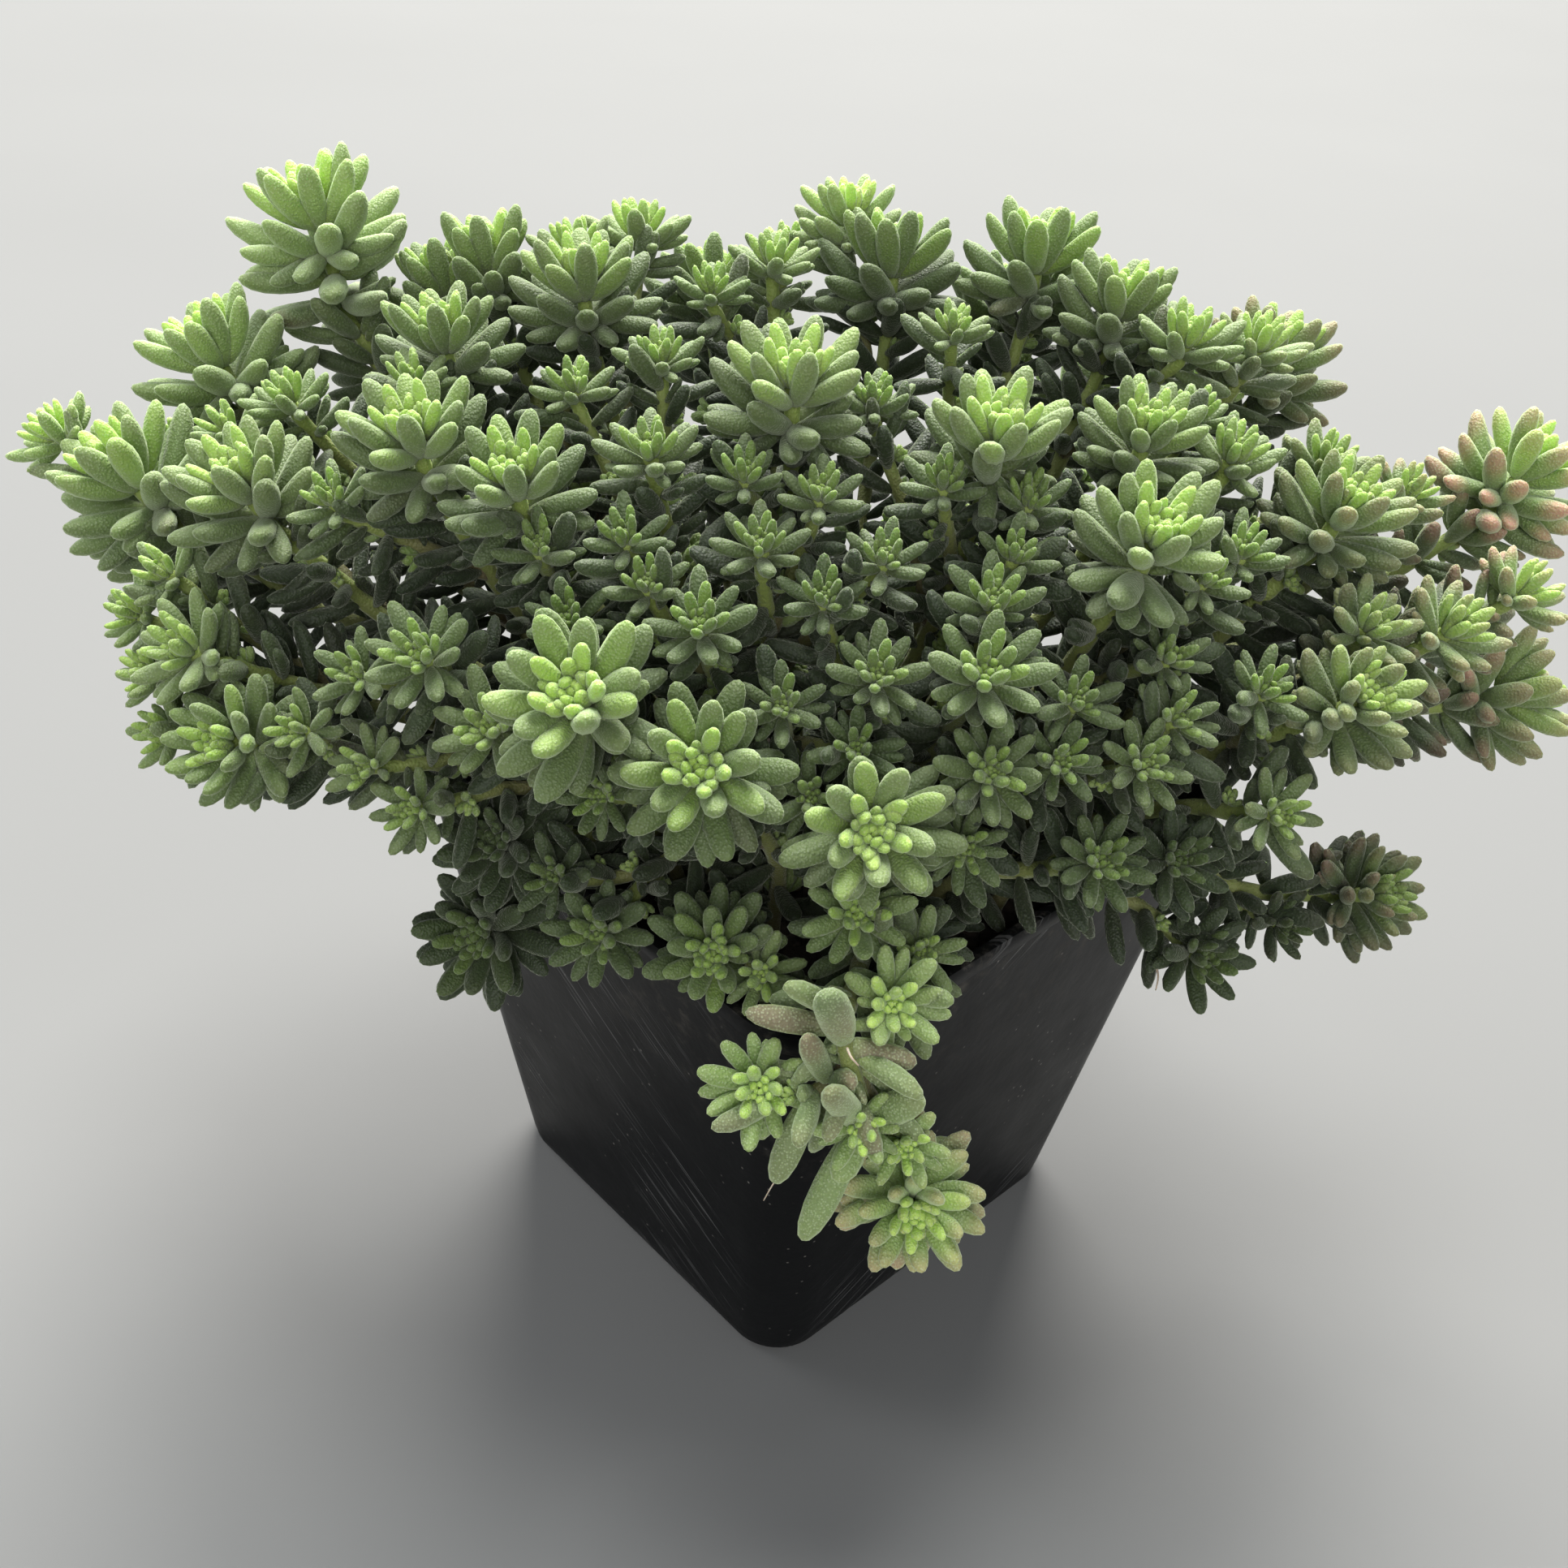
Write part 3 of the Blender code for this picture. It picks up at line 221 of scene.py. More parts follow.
# Each inner tuple is one leafy stem: its main tip, then its side shoots. col and row give the
# middle of a bud and reach its leaf length, in pixels of the picture. ahead puts a tip on an
# upright plane that many metres before the pot's axis, rows asks for more rows of leaves, and
# crest is where a hanging stem passes over the rim.
STEMS = {
    "back": (
        (Tip(col=380, row=235, reach=85, rows=4),),
        (Tip(col=250, row=413, reach=80, rows=3), Tip(col=353, row=485, reach=48)),
        (Tip(col=594, row=297, reach=75), Tip(col=505, row=462, reach=44)),
        (Tip(col=716, row=327, reach=80), Tip(col=787, row=278, reach=55)),
        (Tip(col=540, row=396, reach=75),),
        (Tip(col=953, row=314, reach=50), Tip(col=877, row=350, reach=38)),
        (Tip(col=1104, row=296, reach=85), Tip(col=1051, row=247, reach=60)),
        (Tip(col=1284, row=293, reach=80), Tip(col=1176, row=399, reach=42)),
        (Tip(col=1387, row=354, reach=75), Tip(col=1466, row=410, reach=60)),
    ),
    "left": (
        (Tip(col=134, row=565, reach=95), Tip(col=62, row=529, reach=48)),
        (Tip(col=286, row=579, reach=85), Tip(col=277, row=520, reach=42)),
        (Tip(col=504, row=520, reach=90), Tip(col=406, row=610, reach=40)),
        (Tip(col=629, row=576, reach=86), Tip(col=661, row=670, reach=34)),
        (
            Tip(col=221, row=797, reach=65),
            Tip(col=198, row=700, reach=44),
            Tip(col=160, row=752, reach=36),
            Tip(col=176, row=826, reach=32),
        ),
        (
            Tip(col=265, row=913, reach=75),
            Tip(col=194, row=900, reach=38),
            Tip(col=363, row=900, reach=42),
        ),
        (Tip(col=515, row=806, reach=65), Tip(col=435, row=829, reach=42)),
    ),
    "middle": (
        (
            Tip(col=801, row=550, reach=60),
            Tip(col=707, row=470, reach=46),
            Tip(col=814, row=434, reach=50),
        ),
        (Tip(col=979, row=452, reach=95), Tip(col=918, row=580, reach=34)),
        (
            Tip(col=1234, row=519, reach=95),
            Tip(col=1165, row=590, reach=34),
            Tip(col=1078, row=488, reach=50),
        ),
        (Tip(col=1083, row=830, reach=60), Tip(col=1015, row=734, reach=40)),
        (
            Tip(col=938, row=668, reach=56),
            Tip(col=1011, row=604, reach=54),
            Tip(col=1091, row=684, reach=38),
        ),
        (
            Tip(col=863, row=765, reach=65),
            Tip(col=770, row=658, reach=40),
            Tip(col=796, row=716, reach=32),
        ),
        (Tip(col=704, row=851, reach=110), Tip(col=698, row=760, reach=36)),
        (
            Tip(col=600, row=896, reach=65),
            Tip(col=506, row=998, reach=52),
            Tip(col=448, row=945, reach=38),
        ),
        (Tip(col=861, row=945, reach=100), Tip(col=738, row=980, reach=40)),
        (Tip(col=964, row=868, reach=55), Tip(col=1056, row=922, reach=36)),
        (Tip(col=1218, row=826, reach=75), Tip(col=1226, row=738, reach=62)),
        (Tip(col=1270, row=611, reach=42), Tip(col=1252, row=680, reach=40)),
        (Tip(col=1075, row=1025, reach=100), Tip(col=1000, row=984, reach=32)),
        (Tip(col=1224, row=951, reach=65), Tip(col=1190, row=1047, reach=46)),
        (Tip(col=1310, row=937, reach=52), Tip(col=1328, row=862, reach=50)),
        (Tip(col=1414, row=941, reach=56), Tip(col=1454, row=884, reach=45)),
    ),
    "right": (
        (Tip(col=1419, row=517, reach=75), Tip(col=1475, row=505, reach=36)),
        (Tip(col=1522, row=555, reach=58), Tip(col=1639, row=564, reach=52)),
        (Tip(col=1667, row=611, reach=80), Tip(col=1741, row=601, reach=42)),
        (Tip(col=1900, row=559, reach=75, rows=3),),
        (
            Tip(col=1429, row=648, reach=95),
            Tip(col=1536, row=676, reach=38),
            Tip(col=1444, row=806, reach=40),
        ),
        (Tip(col=1795, row=770, reach=62), Tip(col=1694, row=768, reach=56)),
        (Tip(col=1690, row=853, reach=75), Tip(col=1564, row=849, reach=34)),
        (Tip(col=1579, row=1004, reach=40), Tip(col=1489, row=708, reach=36)),
    ),
    "front": (
        (
            Tip(col=604, row=1034, reach=75, ahead=0.028),
            Tip(col=582, row=1154, reach=80, ahead=0.028),
        ),
        (
            Tip(col=736, row=1151, reach=62, ahead=0.033),
            Tip(col=680, row=1079, reach=34, ahead=0.031),
        ),
        (
            Tip(col=880, row=1176, reach=75, ahead=0.037),
            Tip(col=938, row=1200, reach=32, ahead=0.038),
        ),
        (
            Tip(col=1100, row=1238, reach=65, ahead=0.043),
            Tip(col=1056, row=1127, reach=65, ahead=0.038),
            Tip(col=1136, row=1175, reach=34, ahead=0.037),
        ),
        (Tip(col=1360, row=1060, reach=56, ahead=0.032),),
        (
            Tip(col=1455, row=1060, reach=56, ahead=0.028),
            Tip(col=1484, row=1178, reach=60, ahead=0.026),
        ),
        (
            Tip(col=1710, row=1100, reach=60, ahead=0.019, rows=3),
            Tip(col=1584, row=1139, reach=40, ahead=0.020),
        ),
        (
            Tip(col=1127, row=1500, reach=75, ahead=0.048, rows=3, crest=CREST),
            Tip(col=935, row=1342, reach=65, ahead=0.047),
            Tip(col=1062, row=1392, reach=42, ahead=0.049),
            Tip(col=1116, row=1414, reach=34, ahead=0.048),
        ),
    ),
}

# Stems on the side away from the viewer: lift on the cushion, turn of the first and last of
# each row, and how many stems there are. Each stem's shoots are given by their turn and rise
# from it in degrees, and their share of the reach.
REAR_ROWS = ((6, -90, 90, 4), (29, -62, 62, 4))
REAR_REACH = 0.0082
REAR_SHOOTS = ((0, 0, 1.0), (11, 9, 0.72))
REAR_SWAY = 3
REAR_SHORTEST = 0.9
REAR_LONGEST = 1.1

# Fleshy leaves. Lengths are shares of a crown's reach, lifts are degrees off level.
FLESH_WIDTH = 0.31
FLESH_THICKNESS = 0.265
FLESH_LENGTH = 1.06
SCENE_CROWD = 90000

# Faces round and along a leaf, for leaves from each length up. An old leaf lies under the others
# and counts as shorter than it is.
OLD_AGE = 0.85
OLD_WORTH = 0.72
FORM_SIZES = ((0.0054, 10, 9), (0.0041, 8, 7), (0.0028, 7, 6), (0.0, 6, 5))
LEAF_BENDS = (0.06, 0.13, 0.19, 0.10)
LEAF_SWERVES = (0.03, -0.04, 0.01, 0.05)
LEAF_FOOT = 0.56
LEAF_WIDEST = 0.62
LEAF_TAPER = 0.16
LEAF_BLUNTNESS = 4
LEAF_UPPER = 0.82
LEAF_UNDER = 1.08
GOLDEN_TURN = math.radians(137.5)
BASE_SUNK = 0.06
LEAST_SIDE = 0.05

# Where leaves redden, and how deep below the cushion a painted shade darkens them
BLUSH_SIDE = 0.029
BLUSH_HEIGHT = 0.060
BLUSH_FADE = 0.020
BLUSH_LEAST = 0.25
PAINTED_SHADE_FROM = 1.05
PAINTED_SHADE_FADE = 0.25

# A leaf's place, direction, upper side, size and age, its tone, how much its tip reddens and how
# deep in the clump it is, which sets how much painted shade darkens it
Leaf = namedtuple("Leaf", "base along up length width age tone blush deep")

# Rows of leaves set between the solids' own: row they follow, step round, lift, length
BIG_FILL = (
    ("fan", 0.5, 58, 0.62),
    (0, 0.5, 36, 0.92),
    (1, 0.5, 12, 0.98),
    (1, 0.25, -6, 0.88),
    (1, 0.75, -12, 0.85),
)
SMALL_FILL = (("fan", 0.5, 52, 0.72), (0, 0.5, 22, 0.96), (0, 0.25, 2, 0.85))
FILL_TRIES = ((1.0, 0, 0), (0.92, 8, 8), (0.92, 8, -8), (0.8, -8, 0), (0.68, 12, 12), (0.68, 12, -12))
FILL_GAP = -0.00025
FILL_SUNK = 0.8
FILL_TURN = 0.12
FILL_LIFT = 5
FILL_LENGTHS = (0.9, 1.03)
FILL_AGE_SPREAD = 0.08
FILL_TONE_SPREAD = 0.15

# Ages run from 0, a bud, to 1, the oldest leaf
FAN_AGE = 0.28
FIRST_ROW_AGE = 0.5
ROW_AGING = 0.2
LAST_ROW_AGE = 0.85
LEVEL_AGE = 0.75
AGE_SPREAD = 0.06
CROWN_TONES = (0.2, 0.8)
TONE_SPREAD = 0.12

# Youngest leaves in the heart of a crown
HEART_COUNT = 14
HEART_SHORTEST = 0.20
HEART_LONGEST = 0.50
HEART_LIFT = 88
HEART_FALL = 24
HEART_SWAY = 3
HEART_MIDDLE = 0.035
HEART_SPREAD = 0.09
HEART_SUNK = 0.10
HEART_WIDTH = 0.58
HEART_NARROWING = 0.22
HEART_AGE = 0.22

# Short leaves down the stems
STEM_LEAF_STEP = 0.0011
STEM_LEAF_LOWEST = 0.0025
STEM_LEAF_LENGTHS = (0.0050, 0.0070)
STEM_LEAF_TRIES = (
    (1.0, 0, 0),
    (1.0, 22, 25),
    (1.0, 22, -25),
    (0.8, -15, 45),
    (0.8, 30, -45),
    (0.65, 0, 0),
    (0.65, 15, 90),
    (0.65, 15, 180),
    (0.5, 10, -30),
    (0.5, 30, 60),
    (0.38, 0, 20),
    (0.38, 20, 150),
)
STEM_LEAF_GAP = -0.00055
STEM_LEAF_LIFTS = (5, 32)
STEM_LEAF_SUNK = 0.7
STEM_LEAF_AGE = 0.86
STEM_LEAF_AGING = 0.3
STEM_AGE_SPREAD = 0.1
STEM_TONE_SPREAD = 0.2

# Tufts on the stems: how far below the crown, reach, leaves in each, room each takes as a share
# of its reach, and how deep it may press into its neighbours
Tufts = namedtuple("Tufts", "places reach count room press")
SPROUTS = Tufts((0.0042, 0.0078), (0.0019, 0.0027), 9, 0.55, 0.0002)
REAR_TUFTS = Tufts((0.0115, 0.0170, 0.0240), (0.0034, 0.0048), 13, 0.70, 0.0006)
REAR_STEMS = ("stem_rear", "stem_back", "stem_middle")
TUFT_TURNS = 6
TUFT_RISE = 0.7
TUFT_SUNK = 0.6
TUFT_STALK = 0.35
TUFT_STALK_LENGTH = 0.5
TUFT_STALK_AGE = 0.4
TUFT_SHORTEST = 0.38
TUFT_GROWTH = 0.42
TUFT_DROP = 0.25
TUFT_LIFT = 86
TUFT_FALL = 60
TUFT_AGE = 0.12
TUFT_AGING = 0.3
TUFT_LEAF_WIDTH = 0.50
TUFT_SHADE = 0.40

# Stems
STEM_AROUND = 8
STEM_SMOOTH = 4
STEM_GIRTH = 0.98
STEM_SWELLING = 0.08
STEM_SWELLS = 2.4
STEM_NARROWING = 0.15

# Old leaves seen one by one on the hanging stem: picture places of foot and tip, width in pixels,
# how much nearer the tip is than the foot, and age
OldLeaf = namedtuple("OldLeaf", "foot tip wide nearer age")
HANGING_STEM = "stem_front_8"
OLD_TONES = (0.3, 0.6)
OLD_LEAVES = (
    OldLeaf((1012, 1285), (1016, 1201), 50, 0.0010, 1.15),
    OldLeaf((1005, 1275), (912, 1248), 34, -0.0010, 1.20),
    OldLeaf((1015, 1325), (981, 1268), 34, 0.0015, 1.15),
    OldLeaf((1020, 1318), (1059, 1328), 34, 0.0020, 1.10),
    OldLeaf((1019, 1395), (1011, 1326), 41, 0.0035, 0.95),
    OldLeaf((1000, 1325), (972, 1352), 28, 0.0020, 0.90),
    OldLeaf((1072, 1411), (1145, 1339), 44, 0.0005, 0.85),
    OldLeaf((1078, 1411), (1139, 1362), 34, 0.0025, 0.80),
    OldLeaf((1014, 1375), (950, 1452), 38, 0.0010, 0.90),
    OldLeaf((1027, 1428), (991, 1521), 40, 0.0015, 0.80),
    OldLeaf((1046, 1425), (1036, 1463), 38, 0.0035, 0.70),
    OldLeaf((1065, 1452), (1034, 1520), 32, 0.0025, 0.80),
    OldLeaf((1034, 1290), (1128, 1315), 34, -0.0005, 1.20),
)

# Threads of aerial root, by picture place, and how far before the pot's axis they hang
ROOTS = (
    (
        Tip(1019, 1296, 0, 0.0455),
        Tip(1008, 1330, 0, 0.0450),
        Tip(989, 1368, 0, 0.0455),
        Tip(984, 1400, 0, 0.0440),
        Tip(964, 1440, 0, 0.0435),
        Tip(950, 1463, 0, 0.0440),
        Tip(941, 1479, 0, 0.0435),
    ),
    (Tip(1044, 1292, 0, 0.0490), Tip(1049, 1303, 0, 0.0500), Tip(1058, 1313, 0, 0.0500)),
    (Tip(1423, 1184, 0, 0.0250), Tip(1427, 1203, 0, 0.0255), Tip(1424, 1220, 0, 0.0255)),
)
ROOT_RADIUS = 0.00013
ROOT_THINNING = 0.6
ROOT_SIDES = 6

# Soil crumbs and grit
SOIL_CUTS = 46
FINE_WAVES = (1900, 700, 1300, 1700)
LUMP_HEIGHT = 0.175
SLANTING_HEIGHT = 0.15
CRUMBS = 700
GRIT = 90
CRUMB_SIZE = (0.0003, 0.0011)
GRIT_SIZE = (0.0006, 0.0014)
CRUMB_EDGE = 0.0015
GRIT_EDGE = 0.003
STONE_RISE = (0.1, 0.5)
STONE_WIDTHS = (0.7, 1.2)
STONE_FLATNESS = 0.7
STONE_LEAN = 0.6
STONE_ROUGHNESS = 0.18

# Scratches on the pot: their slant, their length and spacing, and where they fade out to corners
SCRATCH_SLANT = (0.0, 0.85, -math.pi / 4)
SCRATCH_GRAIN = (0.016, 0.016, 0.00038)
SCRATCH_FADE = (0.022, 0.013)

# Pot walls and drains
POT_CORNER_STEPS = 12
WALL_STEPS = 6
DRAIN_SIDES = 24
SHARP_ANGLE = math.radians(40)
WALL_RINGS = 8
WALL_BOW = 0.00035
WALL_START = 0.002

# Round foot of the pot, as heights and how far in, and round edges of its rim band
FOOT_ROUND = 0.0012
FOOT_CURVE = ((0.0002, 0.0005), (0.0008, 0.0001))
LIP_SOFT = 0.0001
LIP_ROUND = 0.0005
LIP_SHOULDER = 0.0006
LIP_STEP = 0.7

# Floor, light and camera
FLOOR_SIZE = 1.6
SENSOR_WIDTH = 36.0
CLIPPING = (0.005, 20.0)
SKY_COLOR = (0.86, 0.93, 1.0, 1.0)
SKY_STRENGTH = 0.31
LIT_MIDDLE = (0.0, 0.0, 0.07)
Light = namedtuple("Light", "name place size power color")
LIGHTS = (
    Light("sky_behind", (-0.84, 0.96, 1.60), 1.30, 98.0, (1.0, 0.985, 0.94)),
    Light("sky_above", (-0.20, 0.24, 1.90), 0.80, 27.0, (0.98, 1.0, 0.98)),
    Light("sky_left", (-1.20, -0.50, 1.20), 0.90, 9.0, (0.96, 0.98, 1.0)),
    Light("front_fill", (1.25, -1.15, 0.85), 1.20, 19.0, (1.0, 0.99, 0.97)),
)


def unit(vector):
    return vector / np.linalg.norm(vector)


def level(vector):
    return np.array((vector[0], vector[1], 0.0))


def start_tower(bm, ring):
    bmesh.ops.create_circle(bm, cap_ends=True, radius=1.0, segments=len(ring))
    bm.faces.ensure_lookup_table()
    face = bm.faces[0]
    for loop, place in zip(face.loops, ring):
        loop.vert.co = place
    return face


def raise_tower(bm, face, ring):
    """Extrudes the face to the ring; gives the new end face and the side faces in order."""
    face = bmesh.ops.extrude_discrete_faces(bm, faces=[face])["faces"][0]
    for loop, place in zip(face.loops, ring):
        loop.vert.co = place
    walls = []
    for loop in face.loops:
        walls.extend(other for other in loop.edge.link_faces if other is not face)
    return face, walls


def close_foot(bm):
    """Closes the first ring of a tower, which its extrusion left open."""
    bmesh.ops.holes_fill(bm, edges=bm.edges)
    bmesh.ops.recalc_face_normals(bm, faces=bm.faces)


def close_tower(bm, face, peak):
    """Raises the end face to a point; gives its triangles in ring order."""
    edges = [loop.edge for loop in face.loops]
    poked = bmesh.ops.poke(bm, faces=[face])
    poked["verts"][0].co = peak
    made = set(poked["faces"])
    return [next(side for side in edge.link_faces if side in made) for edge in edges]


def wall_half(height):
    """Half the outer width of the pot's wall at a height, without the lip."""
    share = min(max(height / POT_HEIGHT, 0.0), 1.0)
    top = RIM_WIDTH / 2 - LIP_OUT
    return BASE_WIDTH / 2 + (top - BASE_WIDTH / 2) * share


def wall_corner(height):
    share = min(max(height / POT_HEIGHT, 0.0), 1.0)
    return BASE_CORNER + (RIM_CORNER - BASE_CORNER) * share


def soil_height(x, y):
    """Lumpy top of the soil, from two waves whose turns are given per metre."""
    first, second, third, fourth = SOIL_WAVES
    waves = math.sin(first * x + 1.0) * math.cos(second * y)
    waves += SECOND_WAVE * math.sin(third * y + fourth * x)
    return SOIL_TOP + SOIL_LUMP * waves / (1 + SECOND_WAVE)


def sight_line(col, row):
    """Direction from the camera through a place on the picture."""
    back = np.array(
        (
            math.sin(CAMERA_AZIMUTH) * math.cos(CAMERA_TILT),
            -math.cos(CAMERA_AZIMUTH) * math.cos(CAMERA_TILT),
            math.sin(CAMERA_TILT),
        )
    )
    right = np.array((math.cos(CAMERA_AZIMUTH), math.sin(CAMERA_AZIMUTH), 0.0))
    up = np.cross(right, -back)
    rolled_right = math.cos(CAMERA_ROLL) * right + math.sin(CAMERA_ROLL) * up
    rolled_up = math.cos(CAMERA_ROLL) * up - math.sin(CAMERA_ROLL) * right
    across = (col - PICTURE_MIDDLE) / LENS
    down = (row - PICTURE_MIDDLE) / LENS
    return unit(across * rolled_right - down * rolled_up - back)


def cushion_parts(points):
    """Side, near and up distance from the cushion's middle, as shares of its half sizes."""
    offset = points - NEAR * CUSHION_BACK_SHIFT - UP * CUSHION_LEVEL
    near = offset @ NEAR
    depth = np.where(near > 0, CUSHION_FRONT, CUSHION_BACK)
    return offset @ SIDE / CUSHION_SIDE, near / depth, offset @ UP / CUSHION_RISE, depth


def cushion_value(points):
    side, near, rise, depth = cushion_parts(points)
    total = abs(side) ** CUSHION_POWER + abs(near) ** CUSHION_POWER + abs(rise) ** CUSHION_POWER
    return total ** (1 / CUSHION_POWER)


def outward(point):
    """Direction in which a shoot at this place points: off the cushion and a little up."""
    side, near, rise, depth = cushion_parts(point)
    slopes = [np.sign(v) * abs(v) ** (CUSHION_POWER - 1) for v in (side, near, rise)]
    slope = slopes[0] / CUSHION_SIDE * SIDE + slopes[1] / depth * NEAR
    slope = slope + slopes[2] / CUSHION_RISE * UP
    return unit(unit(slope) + CUSHION_LIFT * UP)


def tip_place(tip):
    """Place of a tip, and how far its leaves reach in metres."""
    sight = sight_line(tip.col, tip.row)
    if tip.ahead is None:
        along = np.linspace(NEAREST_SIGHT, FARTHEST_SIGHT, SIGHT_STEPS)
        values = cushion_value(CAMERA_PLACE + along[:, None] * sight)
        met = np.nonzero(values < 1)[0]
        distance = along[met[0] if len(met) else int(np.argmin(values))]
    else:
        distance = (tip.ahead - CAMERA_PLACE @ NEAR) / (sight @ NEAR)
    reach = REACH_GROWTH * tip.reach * distance / LENS
    reach = min(max(reach, SHORTEST_REACH), LONGEST_REACH)
    if tip.ahead is None:
        distance += DEPTH_RATE * (LEVEL_REACH - reach)
    return CAMERA_PLACE + distance * sight, reach


def rear_tips():
    """Tips on the far side of the cushion, in rows, each stem with a side shoot."""
    rng = np.random.default_rng(SEED)
    stems = []
    for lift, first, last, count in REAR_ROWS:
        for turn in np.linspace(first, last, count):
            stem = []
            for step, rise, share in REAR_SHOOTS:
                around = math.radians(turn + step + rng.uniform(-REAR_SWAY, REAR_SWAY))
                height = math.radians(lift + rise + rng.uniform(-REAR_SWAY, REAR_SWAY))
                aim = math.sin(around) * SIDE - math.cos(around) * NEAR
                aim = unit(math.cos(height) * aim + math.sin(height) * UP)
                middle = NEAR * CUSHION_BACK_SHIFT + UP * CUSHION_LEVEL
                size = cushion_value(middle + aim)
                reach = REAR_REACH * share * rng.uniform(REAR_SHORTEST, REAR_LONGEST)
                stem.append((middle + aim / size, reach))
            stems.append(stem)
    return stems


def pot_room(point):
    """Distance from a place to the pot or the soil, less than nothing inside them."""
    x, y, height = point
    across = max(abs(x), abs(y))
    half = wall_half(height)
    outer = half + (LIP_OUT if height > POT_HEIGHT - 2 * LIP_HEIGHT else 0.0)
    inner = half - WALL - LIP_OUT / 2
    soil = height - SOIL_TOP - SOIL_LUMP
    if height > POT_HEIGHT:
        if across > outer:
            return math.hypot(across - outer, height - POT_HEIGHT)
        if across < inner:
            return min(math.hypot(inner - across, height - POT_HEIGHT), soil)
        return height - POT_HEIGHT
    if across > outer:
        return across - outer
    return min(inner - across, soil)


def root_places(tips):
    """Holes for the stems: the tips drawn in over the soil, then moved apart."""
    spots = []
    for tip in tips:
        aside = (tip @ SIDE) * ROOT_SIDE_SHARE * SIDE
        spots.append(aside + (tip @ NEAR + ROOT_NEAR_SHIFT) * ROOT_NEAR_SHARE * NEAR)
    spots = np.array(spots)
    for turn in range(ROOT_ROUNDS):
        spots = np.clip(spots, -ROOT_LIMIT, ROOT_LIMIT)
        for first in range(len(spots)):
            for second in range(first + 1, len(spots)):
                apart = level(spots[second] - spots[first])
                distance = np.linalg.norm(apart)
                if distance < ROOT_GAP:
                    push = apart / max(distance, 1e-6) * (ROOT_GAP - distance) * ROOT_PUSH
                    spots[first] -= push
                    spots[second] += push
    return np.clip(spots, -ROOT_LIMIT, ROOT_LIMIT)


def bezier(places, count):
    share = np.linspace(0, 1, count + 1)[:, None]
    rest = 1 - share
    curve = rest**3 * places[0] + 3 * rest**2 * share * places[1]
    return curve + 3 * rest * share**2 * places[2] + share**3 * places[3]


class Crowd:
    """Balls that stand for the stems and leaves already placed."""

    def __init__(self, most):
        self.places = np.zeros((most, 3))
        self.radii = np.zeros(most)
        self.owners = np.full(most, -1)
        self.count = 0

    def add(self, places, radii, owner):
        end = self.count + len(places)
        self.places[self.count : end] = places
        self.radii[self.count : end] = radii
        self.owners[self.count : end] = owner
        self.count = end

    def room(self, places, radii, skipped):
        """Least gap between these balls and the nearby crowd, the pot and the soil."""
        least = min(pot_room(place) - radius for place, radius in zip(places, radii))
        others = self.places[: self.count]
        above = others > places.min(axis=0) - NEARBY
        below = others < places.max(axis=0) + NEARBY
        near = np.nonzero((above & below).all(axis=1))[0]
        near = near[~np.isin(self.owners[near], skipped)]
        if not len(near):
            return least
        gaps = np.linalg.norm(places[:, None] - others[near][None], axis=2)
        return min(least, (gaps - radii[:, None] - self.radii[near][None]).min())


def balls_along(path, radius):
    """Balls close together along a stem."""
    places = []
    for start, end in zip(path[:-1], path[1:]):
        steps = max(int(np.linalg.norm(end - start) / BALL_STEP), 1)
        places.extend(start + (end - start) * step / steps for step in range(steps))
    places.append(path[-1])
    return np.array(places), np.full(len(places), radius)


class Shoot:
    """One leafy shoot: a stem path, and a crown of leaves at its end."""

    def __init__(self, index, tip, aim, reach, rows, crest=None):
        self.index = index
        self.aim = aim
        self.reach = reach
        self.core = min(max(CORE_SHARE * reach, THINNEST_CORE), THICKEST_CORE)
        self.rows = rows
        if rows is None:
            self.rows = 2 if reach >= BIG_REACH else 1
        self.sides = MIDDLE_SIDES if reach >= SMALL_REACH else SMALL_SIDES
        if self.rows > 1:
            self.sides = BIG_SIDES
        self.crest = crest
        self.step = ROW_SHARE * reach
        self.top = tip - aim * TOP_SHARE * reach
        self.foot = self.top - aim * self.step * self.rows
        self.peak = self.top + aim * self.core * PEAK_SHARE
        self.path = None
        self.radius = STEM_RADIUS
        self.whorls = 0
        self.leaves = {}

    def set_path(self, path, radius, most_whorls):
        """Gives the shoot its path, and cuts whorls off the last stretch of it."""
        stretch = path[-1] - path[-2]
        length = np.linalg.norm(stretch)
        pieces = max(round(length / WHORL_STEP), 1)
        self.whorls = min(pieces, most_whorls)
        step = length / pieces if pieces <= most_whorls else WHORL_STEP
        rings = self.whorls - 1 if pieces <= most_whorls else self.whorls
        added = [path[-1] - stretch / length * step * number for number in range(rings, 0, -1)]
        self.path = np.vstack([path[:-1], *added, path[-1:]])
        self.radius = radius

    def frames(self):
        """Rings of places round the whole shoot, from root to crown."""
        path = self.path
        rings = []
        across = None
        for number, place in enumerate(path):
            before = path[max(number - 1, 0)]
            after = path[min(number + 1, len(path) - 1)]
            along = unit(after - before) if number < len(path) - 1 else self.aim
            if across is None:
                across = unit(np.cross(along, RING_START))
            across = unit(across - along * (across @ along))
            share = number / max(len(path) - 1, 1)
            radius = self.radius + (min(self.core, self.radius) - self.radius) * share
            if number == 0 and self.radius < STEM_RADIUS:
                radius = BRANCH_START_RADIUS
            below = min(len(path) - 1 - number, self.whorls)
            turn = -below * TURN * BIG_SIDES / self.sides
            rings.append(ring_about(place, along, across, radius, turn, self.sides))
        for row in range(1, self.rows + 1):
            place = self.foot + (self.top - self.foot) * row / self.rows
            radius = self.core * (1.0 if row < self.rows else CORE_TAPER)
            turn = row * TURN * BIG_SIDES / self.sides
            rings.append(ring_about(place, self.aim, across, radius, turn, self.sides))
        return rings


